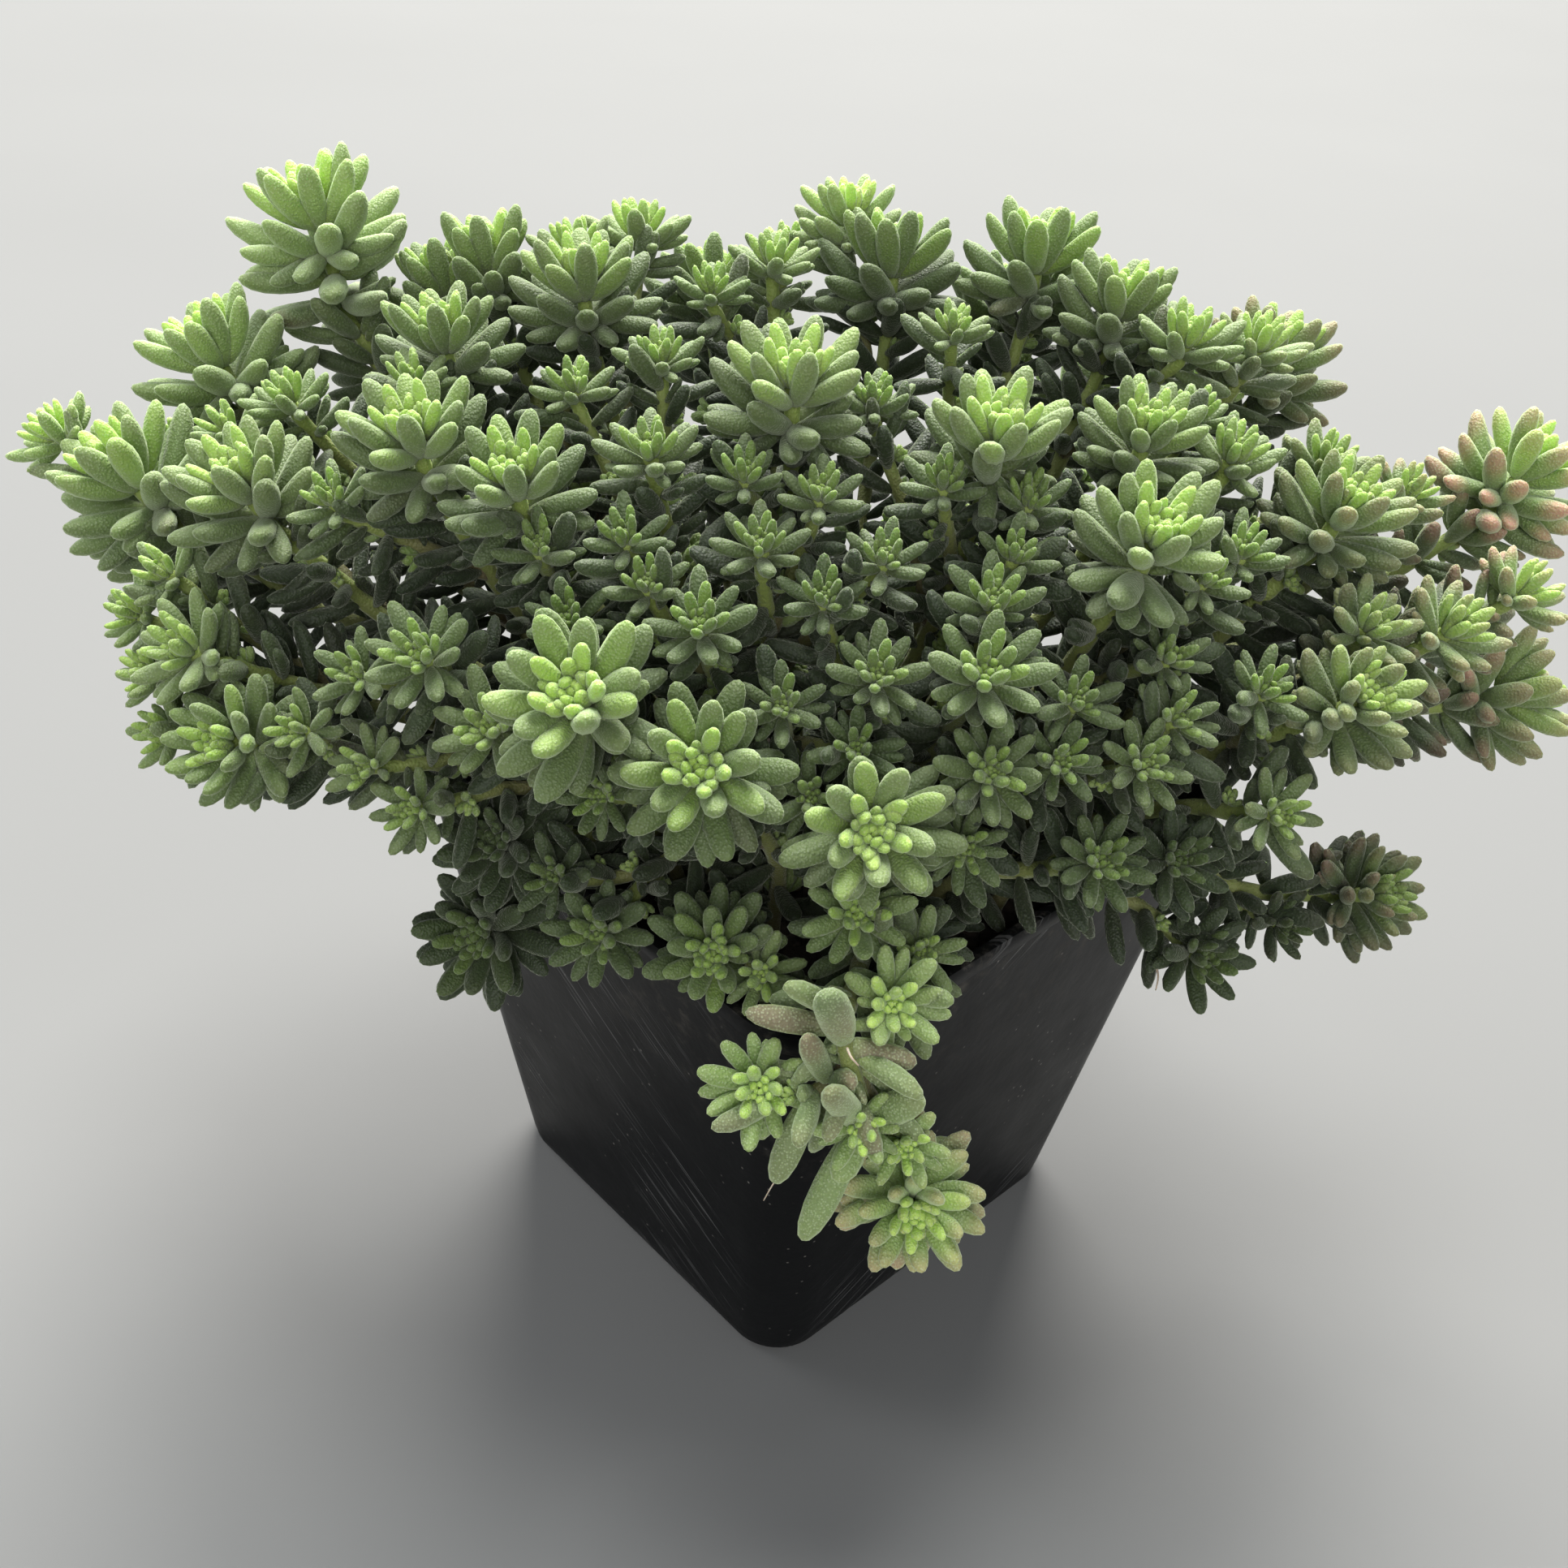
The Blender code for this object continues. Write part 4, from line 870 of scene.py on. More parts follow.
def ring_about(place, along, across, radius, turn, sides):
    other = np.cross(along, across)
    angles = [turn + 2 * math.pi * step / sides for step in range(sides)]
    return [place + radius * (math.cos(a) * across + math.sin(a) * other) for a in angles]


def stem_path(shoot, root, crowd):
    """Path from a hole to the crown that keeps clear of the pot and of other stems."""
    low = np.array((root[0], root[1], SOIL_TOP - HOLE_DEPTH + GAP))
    collar = np.array((root[0], root[1], SOIL_TOP + COLLAR_RISE))
    if shoot.crest is not None:
        return hanging_path(shoot, low, collar)
    length = np.linalg.norm(shoot.foot - collar)
    best = None
    sideways = unit(np.cross(level(shoot.foot - collar) + 1e-6 * SIDE, UP))
    for rise, pull, bow in itertools.product(PATH_RISES, PATH_PULLS, PATH_BOWS):
        middle = collar + UP * rise * length + sideways * bow
        late = shoot.foot - shoot.aim * pull * length + sideways * bow
        curve = bezier((collar, middle, late, shoot.foot), STEM_STEPS)
        places, radii = balls_along(curve, STEM_RADIUS)
        places, radii = places[COLLAR_BALLS:], radii[COLLAR_BALLS:]
        room = crowd.room(places, radii, (shoot.index,))
        if best is None or room > best[0]:
            best = (room, curve)
        if room > 2 * GAP:
            break
    return np.vstack((low, best[1])), best[0]


def hanging_path(shoot, low, collar):
    """Path up from the soil, over the rim at the crest and down to the crown."""
    crest = shoot.crest
    out = unit(level(crest - collar))
    rise = crest[2] - collar[2]
    before = crest - out * CREST_PULL * rise
    first = bezier((collar, collar + UP * rise, before, crest), CREST_STEPS)
    drop = crest[2] - shoot.foot[2]
    ahead = crest + out * CREST_LEAD * drop
    above = shoot.foot + UP * HOOK_RISE * drop - shoot.aim * HOOK_PULL * drop
    second = bezier((crest, ahead, above, shoot.foot), CREST_STEPS)
    path = np.vstack((low, first, second[1:]))
    places = balls_along(path[CREST_STEPS:], STEM_RADIUS)[0]
    return path, min(pot_room(place) for place in places) - STEM_RADIUS


def branch_path(shoot, main, family, crowd):
    """Path from the main stem to a side crown."""
    best = None
    path = main[1:]
    tries = itertools.product(FORKS, BRANCH_PULLS, BRANCH_RISES, BRANCH_BOWS)
    for fork, pull, rise, bow in tries:
        place = fork * (len(path) - 1)
        number = int(place)
        start = path[number] + (path[number + 1] - path[number]) * (place - number)
        along = unit(path[number + 1] - path[number])
        length = np.linalg.norm(shoot.foot - start)
        shift = unit(np.cross(along, shoot.foot - start)) * bow
        middle = start + along * rise * length + shift
        late = shoot.foot - shoot.aim * pull * length + shift
        curve = bezier((start, middle, late, shoot.foot), BRANCH_STEPS)
        balls, radii = balls_along(curve, BRANCH_RADIUS)
        room = crowd.room(balls, radii, family)
        score = min(room, 2 * GAP) + LEAN_WORTH * (along @ unit(shoot.foot - start))
        score -= LENGTH_COST * length + BOW_COST * abs(bow)
        if best is None or score > best[0]:
            best = (score, curve, room)
    return best[1], best[2]


def leaf_balls(base, along, length):
    places = base + along * (BALL_PLACES * length)[:, None]
    return places, BALL_RADII * LEAF_WIDTH * length


def plan_row(shoot, corners, key, lift, share, crowd, rng):
    """Finds room for the leaves of one row, one on each face between two rings or of the fan."""
    middle = np.mean(corners[0], axis=0)
    axis = unit(np.mean(np.atleast_2d(corners[1]), axis=0) - middle)
    for side in range(shoot.sides):
        after = (side + 1) % shoot.sides
        low, high = corners
        if key == "fan":
            base = (low[side] + low[after] + high) / 3
        else:
            base = (low[side] + low[after] + high[side] + high[after]) / 4
        radial = base - middle
        radial = unit(radial - axis * (radial @ axis))
        turned = np.cross(axis, radial)
        lean = rng.uniform(-LEAF_SWAY, LEAF_SWAY)
        swing = rng.uniform(-LEAF_SWAY, LEAF_SWAY)
        full = share * shoot.reach * rng.uniform(LEAF_SHORTEST, LEAF_LONGEST)
        for scale, raised, moved in LEAF_TRIES:
            up = math.radians(lift + lean + raised)
            round_axis = math.radians(swing + moved)
            out = math.cos(round_axis) * radial + math.sin(round_axis) * turned
            along = math.cos(up) * out + math.sin(up) * axis
            length = full * scale
            places, radii = leaf_balls(base, along, length)
            if crowd.room(places, radii, (shoot.index,)) > LEAF_GAP:
                crowd.add(places, radii, shoot.index)
                shoot.leaves[key, side] = (base, along, length)
                break


def all_shoots():
    """Every stem as a name and its shoots, the main one first, with paths and leaves found."""
    stems = []
    index = 0
    for group, rows in STEMS.items():
        for number, row in enumerate(rows, 1):
            shoots = []
            for tip in row:
                place, reach = tip_place(tip)
                crest = tip_place(tip.crest)[0] if tip.crest else None
                aim = outward(place)
                if tip.ahead is not None:
                    aim = unit(aim + AHEAD_LIFT * UP)
                shoots.append(Shoot(index, place, aim, reach, tip.rows, crest))
                index += 1
            stems.append((f"stem_{group}_{number}", shoots))
    for number, row in enumerate(rear_tips(), 1):
        shoots = []
        for place, reach in row:
            shoots.append(Shoot(index, place, outward(place), reach, None))
            index += 1
        stems.append((f"stem_rear_{number}", shoots))
    return stems


def place_stems(stems, crowd):
    """Gives every stem its hole and its path, and every side shoot its fork."""
    for name, shoots in stems:
        for shoot in shoots:
            crowd.add(*balls_along((shoot.foot, shoot.top), shoot.core), shoot.index)
    roots = root_places([shoots[0].foot for name, shoots in stems])
    order = sorted(range(len(stems)), key=lambda i: stems[i][1][0].foot[2])
    mains = {}
    for number in order:
        name, shoots = stems[number]
        path, room = stem_path(shoots[0], roots[number], crowd)
        mains[number] = path
        if room < GAP:
            print(f"{name} has only {room * 1000:.2f} mm of room")
        crowd.add(*balls_along(path[1:], STEM_RADIUS), shoots[0].index)
    for number in order:
        name, shoots = stems[number]
        family = [shoot.index for shoot in shoots]
        for shoot in shoots[1:]:
            path, room = branch_path(shoot, mains[number], family, crowd)
            shoot.set_path(path, BRANCH_RADIUS, SIDE_WHORLS)
            if room < GAP:
                print(f"{name} has a side shoot with only {room * 1000:.2f} mm of room")
            crowd.add(*balls_along(path, BRANCH_RADIUS), shoot.index)
    for number, (name, shoots) in enumerate(stems):
        steps = mains[number][1:] - mains[number][:-1]
        long = np.linalg.norm(steps, axis=1).sum() > LONG_STEM
        shoots[0].set_path(mains[number], STEM_RADIUS, MAIN_WHORLS if long else 1)
    return roots


def plan_leaves(stems, crowd):
    """Leaves in rounds, the top of every crown first, so that crowded crowns share the room."""
    rng = np.random.default_rng(SEED)
    shoots = [shoot for name, row in stems for shoot in row]
    for shoot in shoots:
        lift, share = (BUD_LIFT, BUD_SHARE)
        if shoot.rows > 1:
            lift, share = (BIG_BUD_LIFT, BIG_BUD_SHARE)
        plan_row(shoot, (shoot.frames()[-1], shoot.peak), "fan", lift, share, crowd, rng)
    for row in range(max(shoot.rows for shoot in shoots)):
        for shoot in shoots:
            if row >= shoot.rows:
                continue
            rings = shoot.frames()
            corners = (rings[-2 - row], rings[-1 - row])
            lift = (ROW_LIFT if shoot.rows == 1 else BIG_ROW_LIFT) - ROW_FALL * row
            share = UPPER_ROW_SHARE if row == 0 and shoot.rows > 1 else 1.0
            plan_row(shoot, corners, row, max(lift, LOWEST_LIFT), share, crowd, rng)
    for whorl in range(MAIN_WHORLS):
        for shoot in shoots:
            if whorl >= shoot.whorls:
                continue
            rings = shoot.frames()
            row = shoot.rows + whorl
            corners = (rings[-2 - row], rings[-1 - row])
            plan_row(shoot, corners, row, WHORL_LIFT, WHORL_SHARE, crowd, rng)


# Leaf shapes, one unit long from the origin along +Y with the upper side at +Z


def leaf_form(around, along, bend, swerve):
    """A plump blunt leaf, narrow at its foot, that bends up and to one side."""
    bm = bmesh.new()
    bmesh.ops.create_uvsphere(bm, u_segments=around, v_segments=along, radius=1.0)
    layer = bm.verts.layers.float.new("tip")
    for vert in bm.verts:
        share = (1 + vert.co.z) / 2
        girth = math.hypot(vert.co.x, vert.co.y)
        turn = math.atan2(vert.co.y, vert.co.x)
        swell = LEAF_FOOT + (1 - LEAF_FOOT) * math.sin(math.pi / 2 * min(share / LEAF_WIDEST, 1.0))
        swell *= 1 - LEAF_TAPER * max((share - LEAF_WIDEST) / (1 - LEAF_WIDEST), 0.0) ** 2
        end = (2 * share - 1) ** LEAF_BLUNTNESS
        half = swell * math.sqrt(max(1 - end, 0.0)) / 2 if girth > 1e-6 else 0.0
        upper = LEAF_UPPER if math.sin(turn) > 0 else LEAF_UNDER
        vert.co.x = half * math.cos(turn) + swerve * share**2 / FLESH_WIDTH
        vert.co.z = half * math.sin(turn) * upper + bend * share**2 / FLESH_THICKNESS
        vert.co.y = share
        vert[layer] = share
    bmesh.ops.recalc_face_normals(bm, faces=bm.faces)
    mesh = bpy.data.meshes.new("leaf_form")
    bm.to_mesh(mesh)
    bm.free()
    return mesh


def leaf_forms():
    """Leaves in several bends, once for each fineness."""
    bends = list(zip(LEAF_BENDS, LEAF_SWERVES))
    forms = []
    for least, around, along in FORM_SIZES:
        forms.append((least, [leaf_form(around, along, bend, swerve) for bend, swerve in bends]))
    return forms


def add_mesh(bm, source, matrix, values):
    """Adds a copy of a mesh, moved by the matrix, with the same values at all its places."""
    mesh = source.copy()
    mesh.transform(matrix)
    for name, value in values.items():
        layer = mesh.attributes.new(name, "FLOAT", "POINT")
        layer.data.foreach_set("value", np.full(len(mesh.vertices), value, np.float32))
    bm.from_mesh(mesh)
    bpy.data.meshes.remove(mesh)


def leaf_matrix(leaf):
    """Turns, sizes and moves a leaf form to where the leaf stands."""
    across = unit(np.cross(leaf.along, leaf.up))
    over = np.cross(across, leaf.along)
    base = leaf.base - leaf.along * BASE_SUNK * leaf.length
    thick = leaf.width * FLESH_THICKNESS / FLESH_WIDTH
    matrix = Matrix.Identity(4)
    columns = (across * leaf.width, leaf.along * leaf.length, over * thick, base)
    for number, column in enumerate(columns):
        for row in range(3):
            matrix[row][number] = column[row]
    return matrix


# Which leaves there are


def rotated(vector, axis, angle):
    """A vector square to the axis, turned round it."""
    return vector * math.cos(angle) + np.cross(axis, vector) * math.sin(angle)


def lifted(radial, axis, lift):
    """The outward direction raised towards the axis, in degrees."""
    return math.cos(math.radians(lift)) * radial + math.sin(math.radians(lift)) * axis


def upper_side(along, axis):
    """The side of a leaf that faces the tip of its stem."""
    side = axis - along * (axis @ along)
    if np.linalg.norm(side) < LEAST_SIDE:
        side = np.cross(along, SIDE)
    return unit(side)


def new_leaf(base, along, axis, length, age, tone, width=FLESH_WIDTH):
    """A leaf with its upper side to the stem's tip, its blush and how deep in the clump it is, for its
    painted shade.
    """
    up = upper_side(along, axis)
    # How much painted shade darkens the leaf, from how deep it lies below the cushion
    deep = min(max((PAINTED_SHADE_FROM - cushion_value(base)) / PAINTED_SHADE_FADE, 0.0), 1.0)
    return Leaf(base, along, up, length, width * length, age, tone, blush(base), deep)


def blush(place):
    """How much the leaves' tips redden: most on the right, in front and low down."""
    right = (place @ SIDE - BLUSH_SIDE) / BLUSH_FADE
    low = (BLUSH_HEIGHT - place[2]) / BLUSH_FADE
    return min(max(right, low, BLUSH_LEAST), 1.0)


def seek_room(shoot, base, radial, axis, lift, length, tries, gap, crowd):
    """A direction and length in which a leaf has room, or nothing."""
    for scale, raised, moved in tries:
        out = rotated(radial, axis, math.radians(moved))
        along = lifted(out, axis, lift + raised)
        places, radii = leaf_balls(base, along, length * scale)
        if crowd.room(places[1:], radii[1:], (shoot.index,)) > gap:
            crowd.add(places, radii, shoot.index)
            return along, length * scale
    return None


def row_start(shoot, rings, row):
    """Middle, axis and outward direction of the first leaf of a row."""
    if row == "fan":
        low, high = np.array(rings[-1]), np.array([shoot.peak])
    else:
        low, high = np.array(rings[-2 - row]), np.array(rings[-1 - row])
    axis = unit(high.mean(axis=0) - low.mean(axis=0))
    face = np.vstack((low[:2], high[:2]))
    middle = (low.mean(axis=0) + high.mean(axis=0)) / 2
    radial = face.mean(axis=0) - middle
    return middle, axis, unit(radial - axis * (radial @ axis))


def solid_leaves(shoot, tone, rng):
    """The leaves that the frame's solid has, in full flesh."""
    leaves = []
    for (row, side), (base, along, length) in sorted(shoot.leaves.items(), key=str):
        if row == "fan":
            age = FAN_AGE
        elif row < shoot.rows:
            age = FIRST_ROW_AGE + ROW_AGING * row
        else:
            age = LAST_ROW_AGE
        age += rng.uniform(-AGE_SPREAD, AGE_SPREAD)
        own = tone + rng.uniform(-TONE_SPREAD, TONE_SPREAD)
        leaves.append(new_leaf(base, along, shoot.aim, length * FLESH_LENGTH, age, own))
    return leaves


def fill_rows(shoot, tone, crowd, rng):
    """Leaves between those of the solid."""
    leaves = []
    rings = shoot.frames()
    for row, step, lift, share in BIG_FILL if shoot.rows > 1 else SMALL_FILL:
        middle, axis, radial = row_start(shoot, rings, row)
        for side in range(shoot.sides):
            turn = 2 * math.pi * (side + step) / shoot.sides + rng.uniform(-FILL_TURN, FILL_TURN)
            out = rotated(radial, axis, turn)
            base = middle + out * shoot.core * FILL_SUNK
            length = share * shoot.reach * rng.uniform(*FILL_LENGTHS)
            raised = lift + rng.uniform(-FILL_LIFT, FILL_LIFT)
            found = seek_room(shoot, base, out, axis, raised, length, FILL_TRIES, FILL_GAP, crowd)
            if found:
                age = LEVEL_AGE - lift / 90 + rng.uniform(-FILL_AGE_SPREAD, FILL_AGE_SPREAD)
                own = tone + rng.uniform(-FILL_TONE_SPREAD, FILL_TONE_SPREAD)
                leaves.append(new_leaf(base, found[0], axis, found[1], age, own))
    return leaves


def heart(shoot, tone, rng):
    """The youngest leaves: a tight spiral of small rounded ones in the middle of a crown."""
    leaves = []
    aside = unit(np.cross(shoot.aim, SIDE + 0.3 * UP))
    for number in range(HEART_COUNT):
        share = (number + 0.5) / HEART_COUNT
        out = rotated(aside, shoot.aim, number * GOLDEN_TURN + shoot.index)
        lift = HEART_LIFT - HEART_FALL * share + rng.uniform(-HEART_SWAY, HEART_SWAY)
        length = shoot.reach * (HEART_SHORTEST + (HEART_LONGEST - HEART_SHORTEST) * share)
        base = shoot.peak + out * shoot.reach * (HEART_MIDDLE + HEART_SPREAD * share)
        base -= shoot.aim * HEART_SUNK * length
        width = HEART_WIDTH - HEART_NARROWING * share
        along = lifted(out, shoot.aim, lift)
        leaves.append(new_leaf(base, along, shoot.aim, length, HEART_AGE * share, tone, width))
    return leaves


def path_walk(path, step):
    """Places and directions at even steps down a stem from its crown."""
    found = []
    distance = step
    passed = 0.0
    for start, end in zip(path[::-1][:-1], path[::-1][1:]):
        length = np.linalg.norm(end - start)
        while distance < passed + length:
            found.append((start + (end - start) * (distance - passed) / length, unit(start - end)))
            distance += step
        passed += length
    return found


def stem_leaves(shoot, tone, crowd, rng):
    """Older leaves down the stem, in a spiral, wherever one has room."""
    leaves = []
    places = path_walk(shoot.path, STEM_LEAF_STEP)
    for number, (place, axis) in enumerate(places):
        if place[2] < SOIL_TOP + STEM_LEAF_LOWEST:
            continue
        share = number / len(places)
        aside = unit(np.cross(axis, UP + 0.4 * SIDE))
        out = rotated(aside, axis, number * GOLDEN_TURN + shoot.index)
        length = rng.uniform(*STEM_LEAF_LENGTHS)
        base = place + out * shoot.radius * STEM_LEAF_SUNK
        lift = rng.uniform(*STEM_LEAF_LIFTS)
        found = seek_room(shoot, base, out, axis, lift, length, STEM_LEAF_TRIES, STEM_LEAF_GAP, crowd)
        if found:
            age = STEM_LEAF_AGE + STEM_LEAF_AGING * share
            age += rng.uniform(-STEM_AGE_SPREAD, STEM_AGE_SPREAD)
            own = tone + rng.uniform(-STEM_TONE_SPREAD, STEM_TONE_SPREAD)
            leaves.append(new_leaf(base, found[0], axis, found[1], age, own))
    return leaves


def tufts(shoot, kind, tone, crowd, rng):
    """Small side crowns on a stem, each turned up and to the back as far as it finds room."""
    leaves = []
    for distance in kind.places:
        walked = path_walk(shoot.path, distance)
        if not walked or walked[0][0][2] < SOIL_TOP + STEM_LEAF_LOWEST:
            continue
        place, axis = walked[0]
        reach = rng.uniform(*kind.reach)
        start = rng.uniform(0, 2 * math.pi)
        aside = unit(np.cross(axis, UP + 0.4 * SIDE))
        turns = [start + turn * 2 * math.pi / TUFT_TURNS for turn in range(TUFT_TURNS)]
        outs = [rotated(aside, axis, turn) for turn in turns]
        if kind is REAR_TUFTS:
            outs.sort(key=lambda out: out @ (NEAR - UP))
        for out in outs:
            aim = unit(out + TUFT_RISE * axis)
            middle = place + aim * (shoot.radius + kind.room * reach)
            ball = (np.array([middle]), np.array([kind.room * reach]))
            if crowd.room(*ball, (shoot.index,)) > -kind.press:
                crowd.add(*ball, shoot.index)
                foot = place + out * shoot.radius * TUFT_SUNK
                leaves += tuft(foot, aim, reach, kind.count, tone)
                break
    return leaves


def old_leaves(shoots, crowd, rng):
    """Leaves seen one by one, each from the nearest place on its stem to its picture place."""
    places = np.vstack([smooth_path(shoot.path) for shoot in shoots])
    leaves = []
    for old in OLD_LEAVES:
        sight = sight_line(*old.foot)
        offsets = places - CAMERA_PLACE
        across = np.linalg.norm(offsets - (offsets @ sight)[:, None] * sight, axis=1)
        base = places[int(np.argmin(across))]
        sight = sight_line(*old.tip)
        distance = ((base - CAMERA_PLACE) @ NEAR + old.nearer) / (sight @ NEAR)
        tip = CAMERA_PLACE + distance * sight
        along, length = unit(tip - base), np.linalg.norm(tip - base)
        width = old.wide * distance / LENS / length
        tone = rng.uniform(*OLD_TONES)
        leaves.append(new_leaf(base, along, UP + NEAR, length, old.age, tone, width))
        crowd.add(*leaf_balls(base, along, length), shoots[0].index)
    return leaves


def tuft(base, aim, reach, count, tone):
    """One small crown of short leaves, upright in its heart and spread at its foot."""
    leaves = []
    top = base + aim * reach * TUFT_STALK
    aside = unit(np.cross(aim, SIDE + 0.2 * NEAR))
    for number in range(count):
        share = (number + 0.5) / count
        out = rotated(aside, aim, number * GOLDEN_TURN)
        length = reach * (TUFT_SHORTEST + TUFT_GROWTH * share)
        foot = top - aim * TUFT_DROP * reach * share
        along = lifted(out, aim, TUFT_LIFT - TUFT_FALL * share)
        age = TUFT_AGE + TUFT_AGING * share
        leaves.append(new_leaf(foot, along, aim, length, age, tone, TUFT_LEAF_WIDTH))
    stalk = reach * TUFT_STALK_LENGTH
    leaves.append(new_leaf(base, aim, aim, stalk, TUFT_STALK_AGE, tone, TUFT_LEAF_WIDTH))
    # Tuft leaves take less painted shade than their depth in the clump would give
    return [leaf._replace(deep=leaf.deep * TUFT_SHADE) for leaf in leaves]


# Building the leafy stems


def smooth_path(path):
    """The stem's path with its bends rounded off."""
    whole = [path[0]]
    for number in range(len(path) - 1):
        before = path[max(number - 1, 0)]
        start, end = path[number], path[number + 1]
        after = path[min(number + 2, len(path) - 1)]
        first = start + (end - before) / 6
        second = end - (after - start) / 6
        whole.extend(bezier((start, first, second, end), STEM_SMOOTH)[1:])
    return whole


def stem_mesh(shoot):
    """A stem with slight swellings where leaves have stood."""
    path = smooth_path(shoot.path) + [shoot.top]
    bm = bmesh.new()
    layers = [bm.verts.layers.float.new(name) for name in ("tip", "age", "tone")]
    across = unit(np.cross(path[1] - path[0], RING_START))
    face = None
    for number, place in enumerate(path):
        along = unit(path[min(number + 1, len(path) - 1)] - path[max(number - 1, 0)])
        across = unit(across - along * (across @ along))
        share = number / (len(path) - 1)
        radius = shoot.radius * (STEM_GIRTH + STEM_SWELLING * math.sin(STEM_SWELLS * number))
        radius *= 1 - STEM_NARROWING * share
        if number == 0 and shoot.radius < STEM_RADIUS:
            radius = BRANCH_START_RADIUS
        ring = ring_about(place, along, across, radius, 0.0, STEM_AROUND)
        face = start_tower(bm, ring) if face is None else raise_tower(bm, face, ring)[0]
    close_tower(bm, face, shoot.peak)
    close_foot(bm)
    for vert in bm.verts:
        nearest = min(range(len(path)), key=lambda n: np.linalg.norm(np.array(vert.co) - path[n]))
        vert[layers[0]] = -1.0
        vert[layers[1]] = 1 - nearest / (len(path) - 1)
        vert[layers[2]] = 0.5
    mesh = bpy.data.meshes.new("stem")
    bm.to_mesh(mesh)
    bm.free()
    return mesh


def leafy_piece(name, shoots, leaves, forms, surface):
    """One piece with a stem, its side shoots and all their leaves."""
    bm = bmesh.new()
    for shoot in shoots:
        mesh = stem_mesh(shoot)
        bm.from_mesh(mesh)
        bpy.data.meshes.remove(mesh)
    for number, leaf in enumerate(leaves):
        worth = leaf.length * (OLD_WORTH if leaf.age > OLD_AGE else 1.0)
        shapes = next(shapes for least, shapes in forms if worth >= least)
        # The deep value sets how much painted shade darkens the leaf in its material
        values = {name: getattr(leaf, name) for name in ("age", "tone", "blush", "deep")}
        add_mesh(bm, shapes[number % len(shapes)], leaf_matrix(leaf), values)
    return piece(name, bm, surface)


def piece(name, bm, surface):
    """A finished smooth piece that rides with the plant."""
    mesh = bpy.data.meshes.new(name)
    bm.to_mesh(mesh)
    bm.free()
    mesh.materials.clear()
    mesh.materials.append(surface)
    mesh.shade_smooth()
    made = bpy.data.objects.new(name, mesh)
    bpy.context.scene.collection.objects.link(made)
    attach(made, "root")
    return made


# Pot, soil and roots


def make_pot(surface):
    """Thin blown pot with rounded corners, walls that bow a little and a narrow rim band."""
    lip_low = POT_HEIGHT - LIP_HEIGHT
    rim_inside = WALL - LIP_OUT / 2
    bm = bmesh.new()
    face = start_tower(bm, fine_ring(0.0, FOOT_ROUND))
    rings = [fine_ring(height, inward) for height, inward in FOOT_CURVE]
    for step in range(WALL_RINGS + 1):
        share = step / WALL_RINGS
        bow = WALL_BOW * math.sin(math.pi * share)
        rings.append(fine_ring(WALL_START + (lip_low - WALL_START) * share, 0.0, bow))
    rings += [
        fine_ring(lip_low + LIP_SOFT, -LIP_STEP * LIP_OUT),
        fine_ring(lip_low + LIP_ROUND, -LIP_OUT),
        fine_ring(POT_HEIGHT - LIP_SHOULDER, -LIP_OUT),
        fine_ring(POT_HEIGHT - LIP_SOFT, 2 * LIP_SOFT - LIP_OUT),
        fine_ring(POT_HEIGHT, LIP_ROUND - LIP_OUT),
        fine_ring(POT_HEIGHT - LIP_SOFT, rim_inside - 2 * LIP_SOFT),
        fine_ring(POT_HEIGHT - LIP_ROUND, rim_inside),
        fine_ring(lip_low, WALL),
        fine_ring(FLOOR, WALL),
    ]
    for ring in rings:
        face = raise_tower(bm, face, ring)[0]
    close_foot(bm)
    pot = piece("nursery_pot", bm, surface)
    drains = bmesh.new()
    for x in (-DRAIN_OFFSET, DRAIN_OFFSET):
        for y in (-DRAIN_OFFSET, DRAIN_OFFSET):
            bmesh.ops.create_cone(
                drains,
                cap_ends=True,
                segments=DRAIN_SIDES,
                radius1=DRAIN_RADIUS,
                radius2=DRAIN_RADIUS,
                depth=4 * FLOOR,
                matrix=Matrix.Translation((x, y, 0.0)),
            )
    mesh = bpy.data.meshes.new("drains")
    drains.to_mesh(mesh)
    drains.free()
    tool = bpy.data.objects.new("drains", mesh)
    bpy.context.scene.collection.objects.link(tool)
    cut = pot.modifiers.new("drains", "BOOLEAN")
    cut.object = tool
    cut.solver = "EXACT"
    graph = bpy.context.evaluated_depsgraph_get()
    whole = bpy.data.meshes.new_from_object(pot.evaluated_get(graph))
    pot.modifiers.clear()
    pot.data = whole
    bpy.data.objects.remove(tool)
    pot.data.set_sharp_from_angle(angle=SHARP_ANGLE)
    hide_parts("pot")
    return pot


def fine_ring(height, inward, bow=0.0):
    """Outline of the pot at a height, with many points round its corners."""
    half = wall_half(height) - inward
    corner = wall_corner(height) - inward
    middle = (half - corner) * math.sqrt(2)
    ring = []
    for quarter in range(4):
        start = quarter * math.pi / 2
        end = start + math.pi / 2
        turn = start + math.pi / 4
        for step in range(POT_CORNER_STEPS + 1):
            angle = start + step * math.pi / 2 / POT_CORNER_STEPS
            ring.append((*corner_point(middle, turn, corner, angle), height))
        first = corner_point(middle, turn, corner, end)
        last = corner_point(middle, turn + math.pi / 2, corner, end)
        for step in range(1, WALL_STEPS):
            share = step / WALL_STEPS
            out = bow * math.sin(math.pi * share)
            x = (1 - share) * first[0] + share * last[0] + out * math.cos(end)
            y = (1 - share) * first[1] + share * last[1] + out * math.sin(end)
            ring.append((x, y, height))
    return ring


def corner_point(middle, turn, corner, angle):
    """A point at an angle on the round corner whose middle lies at a turn round the pot."""
    x = middle * math.cos(turn) + corner * math.cos(angle)
    y = middle * math.sin(turn) + corner * math.sin(angle)
    return x, y


